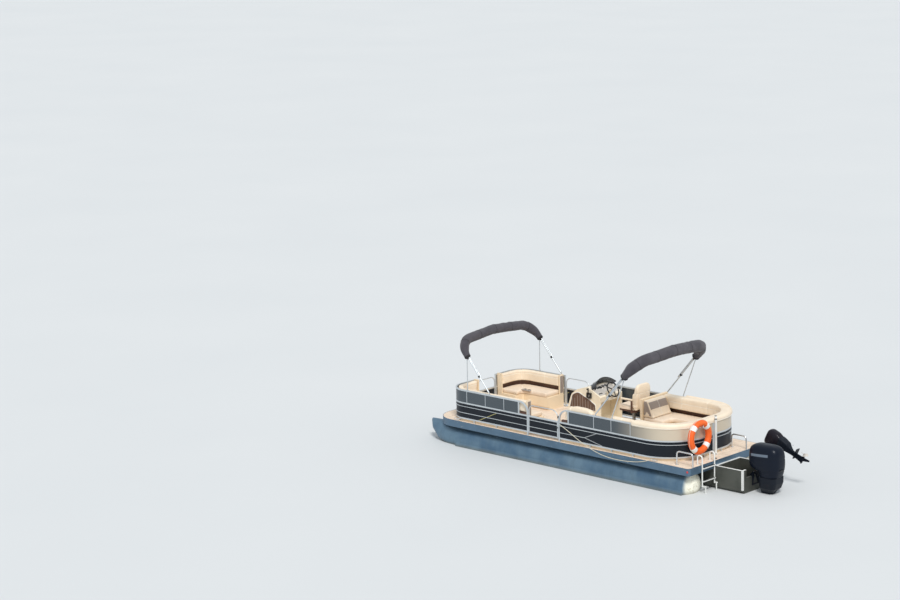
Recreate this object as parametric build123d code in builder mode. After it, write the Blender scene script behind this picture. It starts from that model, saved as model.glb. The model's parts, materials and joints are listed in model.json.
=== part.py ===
from build123d import *
from collections import namedtuple
from math import atan, atan2, cos, degrees, hypot, pi, radians, sin, sqrt
import os

# A twin tube pontoon boat in millimetres: x points forward, y to port and z up.
# The origin is amidships on the centreline, at the height of the still water.

os.makedirs("parts", exist_ok=True)

# Hull tubes
tube_radius = 317.5
draft = 195.0
tube_spacing = 1920.0
tube_stern = -3500.0
nose_start = 3000.0
nose_length = 1000.0
stern_cap_length = 110.0
strake_reach = 34.0
keel_width = 36.0
keel_depth = 12.0

# Deck and what carries it
deck_top = 600.0
deck_thickness = 20.0
deck_stern = -3700.0
deck_bow = 3690.0
deck_beam = 2590.0
deck_bow_radius = 560.0
deck_stern_radius = 70.0
trim_clearance = 1.0
trim_wall = 12.0
trim_lip = 34.0
beam_pitch = 480.0
beam_height = 110.0
beam_width = 44.0
beam_wall = 6.0
riser_width = 120.0
riser_setback = 60.0
tow_bore = 14.0
tow_plate = 12.0

# Fence: a closed rail round the cockpit, in four runs between the gates
fence_inset = 67.0
fence_half_beam = deck_beam / 2 - fence_inset
fence_bow = 3234.0
fence_stern = -3334.0
fence_bow_radius = 430.0
fence_stern_radius = 900.0
rail = 32.0
post_depth = 20.0
post_pitch = 620.0
skin_wall = 6.0
accent_height = 12.0
accent_reach = 10.0
bottom_rail_z = 673.0
mid_rail_z = 1030.0
top_rail_z = 1320.0
low_accent_z = 800.0
high_accent_z = 950.0
low_accent_end = -800.0
rail_bend = 230.0

# Gates, each in an opening of the fence
port_gate_front = 820.0
port_gate_aft = -70.0
starboard_gate_front = 1850.0
starboard_gate_aft = 1100.0
bow_gate_width = 660.0
gate_gap = 8.0
gate_hoop_z = 1280.0
hoop_tube_radius = 11.0
hoop_bend = 120.0
hoop_wide_bend = 180.0
hinge_leaf = 26.0
hinge_pin_radius = 4.0
hinge_barrel_radius = 8.0
hinge_height = 60.0
running_gap = 0.05
seat_gap = 0.3

# Seating
base_height = 300.0
cushion_height = 100.0
seat_depth = 560.0
back_thickness = 135.0
back_inset = 26.0
back_foot_z = 1085.0
bow_back_top = 1350.0
stern_back_top = 1395.0
back_foot = 50.0
toe_kick = 60.0
toe_height = 80.0
seat_nose = 20.0
bow_seat_trim = 50.0
end_wall = 30.0
end_wall_rise = 10.0
port_back_lead = 130.0
port_back_end = -1000.0
port_back_top = 1440.0
roll_start = -1500.0
roll_width = 150.0
roll_foot_z = 1230.0
roll_top = 1375.0
stern_back_x = -2100.0
stern_back_thickness = 200.0
stern_back_overhang = 30.0
starboard_overhang_x = -1650.0
lounge_end_x = -1100.0
lounge_end_y = -300.0
lounge_end_top = 1400.0
end_panel = 60.0
end_back = 300.0

# Helm
console_front = 1070.0
console_aft = 110.0
console_setback = 78.0
console_width = 760.0
console_wall = 30.0
dash_foot_z = 1230.0
dash_top_x = 480.0
dash_top_z = 1420.0
hood_x = 780.0
hood_z = 1330.0
brow_x = 960.0
brow_z = 1200.0
nose_z = 880.0
knee_depth = 330.0
knee_height = 480.0
wheel_radius = 185.0
wheel_rim = 15.0
wheel_x = 0.0
wheel_setback = 310.0
wheel_z = 1380.0
wheel_tilt = 30.0
wheel_shaft = 9.0
wheel_hub = 36.0
wheel_hub_height = 24.0
spoke_width = 26.0
spoke_wall = 8.0
boss_radius = 34.0
boss_near = 60.0
boss_far = 240.0
screen_x = 880.0
screen_z = 1215.0
screen_pitch = 36.0
screen_length = 640.0
screen_drop = 170.0
screen_wall = 8.0
control_x = 420.0
control_z = 1240.0
control_size = 120.0
control_wall = 46.0
lever_height = 156.0
lever_knob = 17.0
chair_x = -640.0
chair_shift = 50.0
chair_width = 520.0
chair_corner = 130.0
arm_width = 44.0
arm_low = 300.0
arm_wall = 45.0
arm_foot = 60.0
column_plate = 115.0
column_plate_height = 12.0
column_radius = 36.0
column_pin = 14.0
column_top = 1000.0
chair_top = 1680.0

# Folded tops
front_top_pivot = 1979.0
rear_top_pivot = -1112.0
pivot_rise = 30.0
top_tube = 16.0
front_top_lean = 49.5
rear_top_lean = 131.0
front_top_reach = 1470.0
rear_top_reach = 1760.0
front_boot_drop = 485.0
rear_boot_drop = 520.0
front_boot_radius = 112.0
rear_boot_radius = 132.0
top_corner_radius = 420.0
crown_rise = 90.0
front_strut_x = 2640.0
rear_strut_x = -1575.0
front_slide_gap = 20.0
rear_slide_gap = 60.0
strut_radius = 11.0
strut_gap = 40.0
eye_radius = 13.0
eye_width = 10.0
cheek = 4.0
cheek_gap = 0.5
second_tube = 12.0
second_gap = 30.0
second_share = 0.42

# Stern
pod_half_width = 430.0
pod_aft = -4440.0
pod_bottom = -70.0
pod_top = 500.0
transom_top = 330.0
well_floor = 110.0
well_front = -3760.0
well_half_width = 390.0
notch_half_width = 300.0
transom_wall = 40.0
pod_bow = -2650.0
pod_bow_rise = 350.0
pod_chine = 130.0

# Outboards. Both have the same layout; heights and lengths count from the tilt axis.
tilt_x = -4470.0
tilt_z = 400.0
aux_x = -4436.0
aux_y = -765.0
aux_z = 748.0
aux_tilt = 65.0
aux_size = 0.5
aux_drop = 0.82
steer_offset = 120.0
swivel_radius = 38.0
steer_shaft = 20.0
tilt_pin = 14.0
tilt_barrel = 26.0
tilt_half_width = 88.0
plate_drop = 575.0
propeller_drop = 805.0
skeg_drop = 1010.0
propeller_radius = 178.0
hub_radius = 46.0
blade_pitch = 380.0
blade_wall = 9.0
clamp_gap = 4.0
clamp_cheek = 16.0
clamp_drop = 270.0
clamp_hook = 28.0
board_wall = 30.0
board_drop = 45.0
board_half_width = 110.0

# Fittings
ladder_inner_y = 440.0
ladder_outer_y = 890.0
ladder_x = -3722.0
ladder_tube = 15.0
ladder_hinge_x = -3790.0
ladder_hinge_z = 150.0
ladder_foot_z = -350.0
loop_top_z = 800.0
loop_front_x = -3600.0
step_width = 76.0
step_height = 24.0
upper_step_zs = (530.0, 250.0)
lower_step_zs = (-70.0, -310.0)
ladder_shift = 26.0
ladder_lug = 16.0
ladder_lug_wall = 10.0
ladder_foot_plate = 34.0
socket_x = -3600.0
socket_y = 260.0
socket_bore = 16.0
socket_radius = 22.0
socket_flange = 38.0
socket_lip = 4.0
socket_depth = 74.0
handle_top_z = 890.0
handle_tube = 16.0
handle_bend = 70.0
cleat_rise = 42.0
cleat_base = 45.0
cleat_width = 32.0
cleat_foot = 24.0
horn_reach = 95.0
horn_radius = 9.0
light_setback = 76.0
light_radius = 26.0
light_top_z = 1450.0
ring_setback = 106.0
ring_y = 590.0
ring_z = 1105.0
ring_radius = 300.0
ring_section = 70.0
rope_radius = 8.0

tube_z = tube_radius - draft
tube_y = tube_spacing / 2
half_beam = deck_beam / 2
deck_bottom = deck_top - deck_thickness
tube_top = tube_z + tube_radius
trim_bottom = tube_top + trim_clearance
trim_height = deck_top - trim_bottom
beam_bottom = deck_bottom - beam_height
half_rail = rail / 2
seat_top = deck_top + base_height + cushion_height
rail_top = top_rail_z + half_rail
top_pivot_z = rail_top + pivot_rise
console_outboard = -fence_half_beam + console_setback
console_inboard = console_outboard + console_width
wheel_y = console_inboard - wheel_setback
chair_y = wheel_y + chair_shift
light_x = fence_stern - light_setback
ring_x = fence_stern - ring_setback
skin_near = half_rail - post_depth + 8.0
skin_far = skin_near + skin_wall


def keep(builder, name):
    """Label a finished piece and write it."""
    builder.part.label = name
    export_step(builder.part, "parts/" + name + ".step")


# The four fence runs. side is 1 to port and -1 to starboard. A run starts at a side gate,
# turns one corner and ends on the bow or stern line at end_y.
Run = namedtuple("Run", "name side start_x end_x end_y radius bent")
half_bow_gate = bow_gate_width / 2
RUNS = (
    Run("bow_port", 1, port_gate_front, fence_bow, half_bow_gate, fence_bow_radius, True),
    Run("bow_starboard", -1, starboard_gate_front, fence_bow, -half_bow_gate, fence_bow_radius, False),
    Run("port", 1, port_gate_aft, fence_stern, 0.0, fence_stern_radius, True),
    Run("starboard", -1, starboard_gate_aft, fence_stern, 0.0, fence_stern_radius, True),
)
RUN = {run.name: run for run in RUNS}


def heading(run):
    """1 where the run goes forward from its gate, -1 where it goes aft."""
    return 1 if run.end_x > run.start_x else -1


def run_line(run, offset, start_x, end_y):
    """Centre line of a run moved outboard by an offset, in plan."""
    side_y = run.side * (fence_half_beam + offset)
    end_x = run.end_x + heading(run) * offset
    radius = max(run.radius + offset, 40.0)
    return FilletPolyline((start_x, side_y), (end_x, side_y), (end_x, end_y), radius=radius)


def band(run, near, far, start_trim=0.0, end_trim=0.0):
    """Plan face between two offsets of a run; the trims shorten it at either end."""
    start_x = run.start_x + heading(run) * start_trim
    end_y = run.end_y + run.side * end_trim
    with BuildLine() as outline:
        outer = run_line(run, far, start_x, end_y)
        inner = run_line(run, near, start_x, end_y)
        Line(outer @ 1, inner @ 1)
        Line(inner @ 0, outer @ 0)
    make_face(outline.line)


def wall(run, near, far, low, high, start_trim=0.0, end_trim=0.0):
    """A wall that follows a run, between two offsets and two heights."""
    with BuildSketch(Plane.XY.offset(low)) as plan:
        band(run, near, far, start_trim, end_trim)
    extrude(plan.sketch, amount=high - low)


def block(x0, x1, y0, y1, z0, z1, mode=Mode.ADD):
    """An upright box between two corners."""
    with BuildSketch(Plane.XY.offset(min(z0, z1))) as plan:
        with Locations(((x0 + x1) / 2, (y0 + y1) / 2)):
            Rectangle(abs(x1 - x0), abs(y1 - y0))
    extrude(plan.sketch, amount=abs(z1 - z0), mode=mode)


# Hull tubes: a round tube, a nose whose top stays level and a shallow stern cap.
# Rows are x, radius; the top line of each nose section stays at the tube's top.
NOSE = ((0.0, 1.0), (0.40, 0.91), (0.70, 0.70), (0.90, 0.43), (1.0, 0.14))
STERN_CAP = ((1.0, 0.30), (0.45, 0.78))
tow_x = nose_start + NOSE[3][0] * nose_length - 5.0
tow_z = tube_top - 2 * NOSE[3][1] * tube_radius - 45.0


def hull_tube(side):
    with BuildPart() as tube:
        y = side * tube_y
        top = tube_z + tube_radius
        for share, size in STERN_CAP:
            with BuildSketch(Plane.YZ.offset(tube_stern - share * stern_cap_length)):
                with Locations((y, tube_z)):
                    Circle(size * tube_radius)
        with BuildSketch(Plane.YZ.offset(tube_stern)):
            with Locations((y, tube_z)):
                Circle(tube_radius)
        for share, size in NOSE:
            with BuildSketch(Plane.YZ.offset(nose_start + share * nose_length)):
                with Locations((y, top - size * tube_radius)):
                    Circle(size * tube_radius)
        loft(ruled=True)
        # Lifting strakes on both flanks and a keel strip underneath
        for flank in (1, -1):
            with BuildSketch(Plane.YZ.offset(tube_stern)):
                with BuildLine():
                    low = radians(-22.0)
                    high = radians(-6.0)
                    a = (y + flank * tube_radius * cos(low) * 0.995, tube_z + tube_radius * sin(low))
                    b = (y + flank * tube_radius * cos(high) * 0.995, tube_z + tube_radius * sin(high))
                    tip = (y + flank * (tube_radius + strake_reach), tube_z + tube_radius * sin(low))
                    inner = (y + flank * tube_radius * 0.9, tube_z + tube_radius * sin(radians(-14.0)))
                    Polyline(a, tip, b, inner, close=True)
                make_face()
            extrude(amount=nose_start - tube_stern)
        block(tube_stern, nose_start, y - keel_width / 2, y + keel_width / 2,
              -draft - keel_depth, -draft + keel_depth)
        # Tow eye plate under the nose
        with BuildSketch(Plane.XZ.offset(-y - tow_plate / 2)):
            with Locations((tow_x - 45.0, tow_z + 30.0)):
                RectangleRounded(150.0, 110.0, 30.0)
            with Locations((tow_x, tow_z)):
                Circle(tow_bore, mode=Mode.SUBTRACT)
        extrude(amount=tow_plate)
    return tube


for tube_side, tube_name in ((1, "pontoon_port"), (-1, "pontoon_starboard")):
    hull = hull_tube(tube_side)
    keep(hull, tube_name)

# Cross channels on four risers that straddle the tubes
with BuildPart() as crossbeams:
    first_beam = tube_stern + riser_setback + beam_width
    beam_count = int((deck_bow - 500.0 - first_beam) // beam_pitch)
    for number in range(beam_count + 1):
        x = first_beam + number * beam_pitch
        reach = half_beam - trim_wall - seat_gap
        if x > deck_bow - deck_bow_radius:
            reach = half_beam - deck_bow_radius * 0.45
        block(x, x + beam_wall, -reach, reach, beam_bottom, deck_bottom)
        block(x, x + beam_width, -reach, reach, beam_bottom, beam_bottom + beam_wall)
        block(x, x + beam_width, -reach, reach, deck_bottom - beam_wall, deck_bottom)
    for riser_side in (1, -1):
        centre = riser_side * tube_y
        half = riser_width / 2
        leg_foot = tube_z + sqrt(tube_radius ** 2 - (half - beam_wall) ** 2) + seat_gap
        low_x = tube_stern + riser_setback
        high_x = nose_start + 0.45 * nose_length
        block(low_x, high_x, centre - half, centre + half, beam_bottom - beam_wall, beam_bottom)
        for edge in (1, -1):
            block(low_x, high_x, centre + edge * half, centre + edge * (half - beam_wall),
                  leg_foot, beam_bottom)
keep(crossbeams, "crossbeams")


def deck_outline(inset):
    """Plan of the deck with its two rounded bow corners, drawn in from the edge."""
    with BuildLine() as outline:
        y = half_beam - inset
        FilletPolyline(
            (deck_stern + inset, -y), (deck_bow - inset, -y), (deck_bow - inset, y),
            (deck_stern + inset, y),
            radius=(deck_stern_radius - inset / 2, deck_bow_radius - inset,
                    deck_bow_radius - inset, deck_stern_radius - inset / 2),
            close=True)
    make_face(outline.line)


with BuildPart() as deck:
    with BuildSketch(Plane.XY.offset(deck_bottom)):
        deck_outline(trim_wall)
        with Locations((socket_x, socket_y)):
            Circle(socket_radius + seat_gap, mode=Mode.SUBTRACT)
    extrude(amount=deck_thickness)
keep(deck, "deck")

# A flanged socket in the stern deck that takes a pole
with BuildPart() as deck_socket:
    with BuildSketch(Plane.XY.offset(deck_top - socket_depth)):
        with Locations((socket_x, socket_y)):
            Circle(socket_radius)
    extrude(amount=socket_depth)
    with BuildSketch(Plane.XY.offset(deck_top)):
        with Locations((socket_x, socket_y)):
            Circle(socket_flange)
    extrude(amount=socket_lip)
    with BuildSketch(Plane.XY.offset(deck_top - socket_depth + socket_lip)):
        with Locations((socket_x, socket_y)):
            Circle(socket_bore)
    extrude(amount=socket_depth + socket_lip, mode=Mode.SUBTRACT)
keep(deck_socket, "deck_socket")

with BuildPart() as deck_trim:
    with BuildSketch(Plane.XY.offset(trim_bottom)):
        deck_outline(0.0)
    extrude(amount=trim_height)
    with BuildSketch(Plane.XY.offset(trim_bottom)):
        deck_outline(trim_lip)
    extrude(amount=trim_height, mode=Mode.SUBTRACT)
    with BuildSketch(Plane.XY.offset(trim_bottom + beam_wall)):
        deck_outline(trim_wall)
    extrude(amount=trim_height, mode=Mode.SUBTRACT)
keep(deck_trim, "deck_trim")


def post(x, y, low, high, size_x, size_y):
    """A square post centred on a plan point."""
    block(x - size_x / 2, x + size_x / 2, y - size_y / 2, y + size_y / 2, low, high)


def bent_end(run):
    """The top rail's bend down to the gate post."""
    way = heading(run)
    face_x = run.start_x
    top = top_rail_z + half_rail
    with BuildSketch(Plane.XZ.offset(-run.side * fence_half_beam - half_rail)) as profile:
        with BuildLine():
            FilletPolyline((face_x + way * (rail_bend + rail), top), (face_x, top),
                           (face_x, deck_top), radius=rail_bend + half_rail)
            Line((face_x, deck_top), (face_x + way * rail, deck_top))
            FilletPolyline((face_x + way * rail, deck_top), (face_x + way * rail, top - rail),
                           (face_x + way * (rail_bend + rail), top - rail), radius=rail_bend - half_rail)
            Line((face_x + way * (rail_bend + rail), top - rail), (face_x + way * (rail_bend + rail), top))
        make_face()
    extrude(profile.sketch, amount=rail)


HINGE_ZS = (720.0, 960.0)
hinge_inset = half_rail + hinge_barrel_radius + 1.0


def fence_frame(run):
    """Rails, posts and accent strips of one run."""
    way = heading(run)
    high_start = rail_bend + rail if run.bent else 0.0
    with BuildPart() as frame:
        for z in (bottom_rail_z, mid_rail_z):
            wall(run, -half_rail, half_rail, z - half_rail, z + half_rail)
        wall(run, -half_rail, half_rail, top_rail_z - half_rail, top_rail_z + half_rail, high_start)
        half_accent = accent_height / 2
        accent_far = skin_far + accent_reach
        wall(run, skin_far, accent_far, high_accent_z - half_accent, high_accent_z + half_accent)
        if way > 0:
            wall(run, skin_far, accent_far, low_accent_z - half_accent, low_accent_z + half_accent)
        else:
            block(low_accent_end, run.start_x, run.side * (fence_half_beam + skin_far),
                  run.side * (fence_half_beam + accent_far),
                  low_accent_z - half_accent, low_accent_z + half_accent)
        if run.bent:
            bent_end(run)
            post(run.start_x + way * (high_start + half_rail), run.side * fence_half_beam,
                 mid_rail_z, top_rail_z, rail, rail)
        else:
            post(run.start_x + way * half_rail, run.side * fence_half_beam,
                 deck_top, top_rail_z + half_rail, rail, rail)
        # The end posts are deep enough to take the accent strips
        depth = skin_far + accent_reach + half_rail
        centre = (skin_far + accent_reach - half_rail) / 2
        post(run.start_x + way * half_rail, run.side * (fence_half_beam + centre),
             deck_top, mid_rail_z, rail, depth)
        post(run.end_x + way * centre, run.end_y + run.side * half_rail, deck_top,
             mid_rail_z, depth, rail)
        post(run.end_x, run.end_y + run.side * half_rail, deck_top, top_rail_z, rail, rail)
        # Inner posts along the straight side
        straight = abs(run.end_x - run.start_x) - run.radius - high_start - rail
        count = int(straight // post_pitch)
        inner_y = run.side * (fence_half_beam - half_rail + (skin_near + half_rail) / 2)
        for number in range(count):
            x = run.start_x + way * (high_start + rail + (number + 1) * straight / (count + 0.5))
            post(x, inner_y, deck_top, top_rail_z, rail, skin_near + half_rail)
        # One post at the middle of the corner's end line
        span = abs(run.end_y - run.side * fence_half_beam) - run.radius
        if span > post_pitch / 2:
            inner_x = run.end_x + way * (-half_rail + (skin_near + half_rail) / 2)
            y = run.side * (fence_half_beam - run.radius - rail)
            post(inner_x, y, deck_top, top_rail_z, skin_near + half_rail, rail)
    return frame


def lug(a, b, radius, y0, y1, mode=Mode.ADD):
    """A plate with round ends between two (x, z) points, from y0 to y1."""
    length = hypot(b[0] - a[0], b[1] - a[1])
    with BuildSketch(Plane.XZ.offset(-max(y0, y1))) as outline:
        with Locations(((a[0] + b[0]) / 2, (a[1] + b[1]) / 2)):
            SlotCenterToCenter(length, 2 * radius, rotation=degrees(atan2(b[1] - a[1], b[0] - a[0])))
    extrude(outline.sketch, amount=abs(y1 - y0), mode=mode)


def rod(a, b, radius, mode=Mode.ADD):
    """A round bar between two points."""
    way = Vector(*b) - Vector(*a)
    with BuildSketch(Plane(origin=a, z_dir=way)) as section:
        Circle(radius)
    extrude(section.sketch, amount=way.length, mode=mode)


def plate(points, y0, y1, mode=Mode.ADD):
    """A flat piece with a side outline of (x, z) points, from y0 to y1."""
    with BuildSketch(Plane.XZ.offset(-max(y0, y1))) as outline:
        with BuildLine() as edge:
            Polyline(*points, close=True)
        make_face(edge.line)
    extrude(outline.sketch, amount=abs(y1 - y0), mode=mode)


def bent_tube(points, radii, radius):
    """A bent round tube along a route of straight runs and bends."""
    with BuildLine() as route:
        FilletPolyline(*points, radius=radii)
    way = Vector(*points[1]) - Vector(*points[0])
    with BuildSketch(Plane(origin=points[0], z_dir=way)) as section:
        Circle(radius)
    sweep(section.sketch, path=route.line)


# Gates. A gate is drawn from its hinge post: u runs along the opening and v points outboard.
Gate = namedtuple("Gate", "name carrier x y u v width")
GATES = (
    Gate("port", "bow_port", port_gate_front, fence_half_beam, (-1, 0), (0, 1),
         port_gate_front - port_gate_aft),
    Gate("starboard", "bow_starboard", starboard_gate_front, -fence_half_beam, (-1, 0), (0, -1),
         starboard_gate_front - starboard_gate_aft),
    Gate("bow", "bow_starboard", fence_bow, -half_bow_gate, (0, 1), (1, 0), bow_gate_width),
)


def at(gate, u, v):
    """Plan point of a gate's own coordinates."""
    return (gate.x + u * gate.u[0] + v * gate.v[0], gate.y + u * gate.u[1] + v * gate.v[1])


def gate_block(gate, u0, u1, v0, v1, z0, z1):
    """A box in a gate's own coordinates."""
    a = at(gate, u0, v0)
    b = at(gate, u1, v1)
    block(a[0], b[0], a[1], b[1], z0, z1)


def hinge_half(gate, low, high, leaf_end):
    """A hinge barrel with the leaf that joins it to its post."""
    centre = at(gate, gate_gap / 2, -hinge_inset)
    rod((*centre, low), (*centre, high), hinge_barrel_radius)
    gate_block(gate, gate_gap / 2, leaf_end, -hinge_inset, 1.0 - half_rail, low, high)


def fixed_hinges(gate):
    """Lower hinge halves with their pins, on the fence."""
    centre = at(gate, gate_gap / 2, -hinge_inset)
    for z in HINGE_ZS:
        hinge_half(gate, z, z + hinge_height / 2, -hinge_leaf)
        rod((*centre, z), (*centre, z + hinge_height), hinge_pin_radius)


def gate_frame(gate):
    """Frame, accent strips, hoop and upper hinge halves of one gate."""
    near = gate_gap
    far = gate.width - gate_gap
    outer = skin_far + accent_reach
    centre = at(gate, gate_gap / 2, -hinge_inset)
    with BuildPart() as frame:
        for z in (bottom_rail_z, mid_rail_z):
            gate_block(gate, near, far, -half_rail, half_rail, z - half_rail, z + half_rail)
        for u in (near, far - rail):
            gate_block(gate, u, u + rail, -half_rail, outer,
                       bottom_rail_z - half_rail, mid_rail_z + half_rail)
        for z in (low_accent_z, high_accent_z):
            gate_block(gate, near, far, skin_far, outer, z - accent_height / 2, z + accent_height / 2)
        # The hoop over the gate, with a wide bend at its free end
        left = at(gate, near + half_rail, 0.0)
        right = at(gate, far - half_rail, 0.0)
        bent_tube(((*left, mid_rail_z), (*left, gate_hoop_z), (*right, gate_hoop_z), (*right, mid_rail_z)),
             (hoop_bend, hoop_wide_bend), hoop_tube_radius)
        for z in HINGE_ZS:
            hinge_half(gate, z + hinge_height / 2 + seat_gap, z + hinge_height + seat_gap,
                       gate_gap + hinge_leaf)
            rod((*centre, z), (*centre, z + hinge_height), hinge_pin_radius + running_gap, Mode.SUBTRACT)
    return frame


for gate in GATES:
    frame = gate_frame(gate)
    keep(frame, "gate_" + gate.name)
    with BuildPart() as gate_skin:
        gate_block(gate, gate_gap + rail, gate.width - gate_gap - rail, skin_near, skin_far,
                   bottom_rail_z + half_rail, mid_rail_z - half_rail)
    keep(gate_skin, "gate_skin_" + gate.name)

for run in RUNS:
    with BuildPart() as fence:
        add(fence_frame(run).part)
        for gate in GATES:
            if gate.carrier == run.name:
                fixed_hinges(gate)
    keep(fence, "fence_" + run.name)
with BuildPart() as lower_skins:
    for run in RUNS:
        wall(run, skin_near, skin_far, bottom_rail_z + half_rail, mid_rail_z - half_rail, rail, rail)
keep(lower_skins, "lower_skins")
with BuildPart() as upper_skins:
    for run in RUNS:
        high_start = rail_bend + 2 * rail if run.bent else rail
        wall(run, skin_near, skin_far, mid_rail_z + half_rail, top_rail_z - half_rail, high_start, rail)
keep(upper_skins, "upper_skins")

# Seating. Offsets count from the fence's centre line, inboard being negative.
base_far = -half_rail - 8.0
base_near = base_far - seat_depth
foot_near = base_far - back_foot
back_far = -back_inset
base_top = deck_top + base_height


def seat_base(run, start_trim, end_trim):
    """Moulded seat box with a toe space."""
    wall(run, base_near + toe_kick, base_far, deck_top, deck_top + toe_height, start_trim, end_trim)
    wall(run, base_near, base_far, deck_top + toe_height, base_top, start_trim, end_trim)


def seat_pad(run, start_trim, end_trim):
    """Seat cushion in front of the backrest's frame."""
    wall(run, base_near - seat_nose, foot_near - seat_gap, base_top + seat_gap, seat_top,
         start_trim, end_trim)


def back_frame(run, start_trim, end_trim):
    """Low frame that carries the backrest."""
    wall(run, foot_near, base_far, base_top, back_foot_z, start_trim, end_trim)


def back_pad(run, top, thickness, start_trim, end_trim):
    """Backrest cushion."""
    wall(run, back_far - thickness, back_far, back_foot_z + seat_gap, top, start_trim, end_trim)


BOW_RUNS = (RUN["bow_port"], RUN["bow_starboard"])
inside_end = bow_seat_trim + end_wall
pad_trim = inside_end + seat_gap
# Each bow lounge has an upright moulded panel at both ends of its backrest
with BuildPart() as bow_bases:
    for run in BOW_RUNS:
        seat_base(run, bow_seat_trim, bow_seat_trim)
        panel_near = back_far - back_thickness
        block(run.start_x + bow_seat_trim, run.start_x + inside_end,
              run.side * (fence_half_beam + panel_near), run.side * (fence_half_beam + base_far),
              base_top, bow_back_top + end_wall_rise)
        block(run.end_x + panel_near, run.end_x + base_far,
              run.end_y + run.side * bow_seat_trim, run.end_y + run.side * inside_end,
              base_top, bow_back_top + end_wall_rise)
keep(bow_bases, "bow_bases")
with BuildPart() as bow_seats:
    for run in BOW_RUNS:
        seat_pad(run, pad_trim, pad_trim)
keep(bow_seats, "bow_seats")
with BuildPart() as bow_backs:
    for run in BOW_RUNS:
        back_pad(run, bow_back_top, back_thickness, pad_trim, pad_trim)
keep(bow_backs, "bow_backs")

# The stern lounge: a side seat to port, round the stern, and a leg athwart behind the chair
port_run = RUN["port"]
starboard_run = RUN["starboard"]
lounge_start = starboard_gate_aft - lounge_end_x
panel_back = lounge_end_x - end_panel
leg_aft = panel_back - seat_depth
side_seat_inner = -(fence_half_beam + base_near)
side_seat_outer = -(fence_half_beam + base_far)
with BuildPart() as stern_base:
    seat_base(port_run, bow_seat_trim, 0.0)
    seat_base(starboard_run, lounge_start, 0.0)
    block(leg_aft, lounge_end_x, side_seat_inner - 1.0, lounge_end_y, deck_top, base_top)
    block(panel_back, lounge_end_x, side_seat_outer, lounge_end_y, base_top, lounge_end_top)
keep(stern_base, "stern_base")
with BuildPart() as stern_seats:
    seat_pad(port_run, bow_seat_trim, 0.0)
    seat_pad(starboard_run, lounge_start + end_panel + seat_gap, 0.0)
    block(leg_aft - seat_nose, panel_back - seat_gap, side_seat_inner - seat_nose, lounge_end_y,
          base_top + seat_gap, seat_top)
keep(stern_seats, "stern_seats")
with BuildPart() as back_frames:
    for run in BOW_RUNS:
        back_frame(run, inside_end, inside_end)
    back_frame(port_run, bow_seat_trim, 0.0)
    back_frame(starboard_run, lounge_start + end_panel, 0.0)
keep(back_frames, "back_frames")
overhang_starts = (
    (port_run, port_gate_aft - stern_back_x, port_gate_aft - stern_back_x),
    (starboard_run, lounge_start + end_panel + seat_gap, starboard_gate_aft - starboard_overhang_x),
)
with BuildPart() as stern_back:
    for run, start, lip_start in overhang_starts:
        back_pad(run, stern_back_top, stern_back_thickness, start, 0.0)
        wall(run, back_far - stern_back_thickness, stern_back_overhang, rail_top + seat_gap,
             stern_back_top, lip_start, 0.0)
    # The backrest of the leg athwart slopes down aft
    inner_y = -(fence_half_beam + back_far - stern_back_thickness) - 2.0
    plate(((panel_back - seat_gap, seat_top + seat_gap), (panel_back - seat_gap, lounge_end_top - 10.0),
           (panel_back - 120.0, lounge_end_top - 10.0), (panel_back - end_back, seat_top + seat_gap)),
          inner_y, lounge_end_y - 20.0)
keep(stern_back, "stern_back")
port_back_start = port_gate_aft - port_back_lead
with BuildPart() as port_back:
    with BuildSketch(Plane.XY.offset(back_foot_z + seat_gap)):
        with Locations(((port_back_start + port_back_end) / 2,
                        fence_half_beam + back_far - back_thickness / 2)):
            RectangleRounded(port_back_start - port_back_end, back_thickness, 30.0)
    extrude(amount=port_back_top - back_foot_z)
keep(port_back, "port_back")
with BuildPart() as port_roll:
    with BuildSketch(Plane.XY.offset(roll_foot_z)):
        with Locations(((roll_start + stern_back_x + 10.0) / 2, fence_half_beam + back_far - roll_width / 2)):
            RectangleRounded(roll_start - stern_back_x - 10.0, roll_width, 30.0)
    extrude(amount=roll_top - roll_foot_z)
    block(roll_start - 60.0, stern_back_x + 60.0, fence_half_beam + base_far - 34.0,
          fence_half_beam + base_far, back_foot_z, roll_foot_z)
keep(port_roll, "port_roll")

# Helm console: one side profile with a sloping hood and dash, and a knee space
console_middle = (console_inboard + console_outboard) / 2
wheel_axis = Vector(-cos(radians(wheel_tilt)), 0, sin(radians(wheel_tilt)))
wheel_centre = Vector(wheel_x, wheel_y, wheel_z)
# Rows of the side outline are x, z and the corner's radius
CONSOLE_SIDE = (
    (console_aft, deck_top, 0.0), (console_aft, dash_foot_z, 30.0), (dash_top_x, dash_top_z, 60.0),
    (hood_x, hood_z, 200.0), (brow_x, brow_z, 160.0), (console_front, nose_z, 120.0),
    (console_front, deck_top, 0.0),
)
with BuildPart() as console:
    with BuildSketch(Plane.XZ.offset(-console_inboard)):
        with BuildLine():
            FilletPolyline(*[(x, z) for x, z, corner in CONSOLE_SIDE],
                           radius=tuple(corner for x, z, corner in CONSOLE_SIDE), close=True)
        make_face()
    extrude(amount=console_width)
    with BuildSketch(Plane.XZ.offset(-console_inboard + console_wall)):
        with Locations((console_aft, deck_top + knee_height / 2 + console_wall)):
            RectangleRounded(2 * knee_depth, knee_height, 60.0)
    extrude(amount=console_width - 2 * console_wall, mode=Mode.SUBTRACT)
    rod(wheel_centre - wheel_axis * boss_near, wheel_centre - wheel_axis * boss_far, boss_radius)
    rod(wheel_centre + wheel_axis * 13.0, wheel_centre - wheel_axis * 100.0, wheel_shaft)
keep(console, "console")

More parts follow.
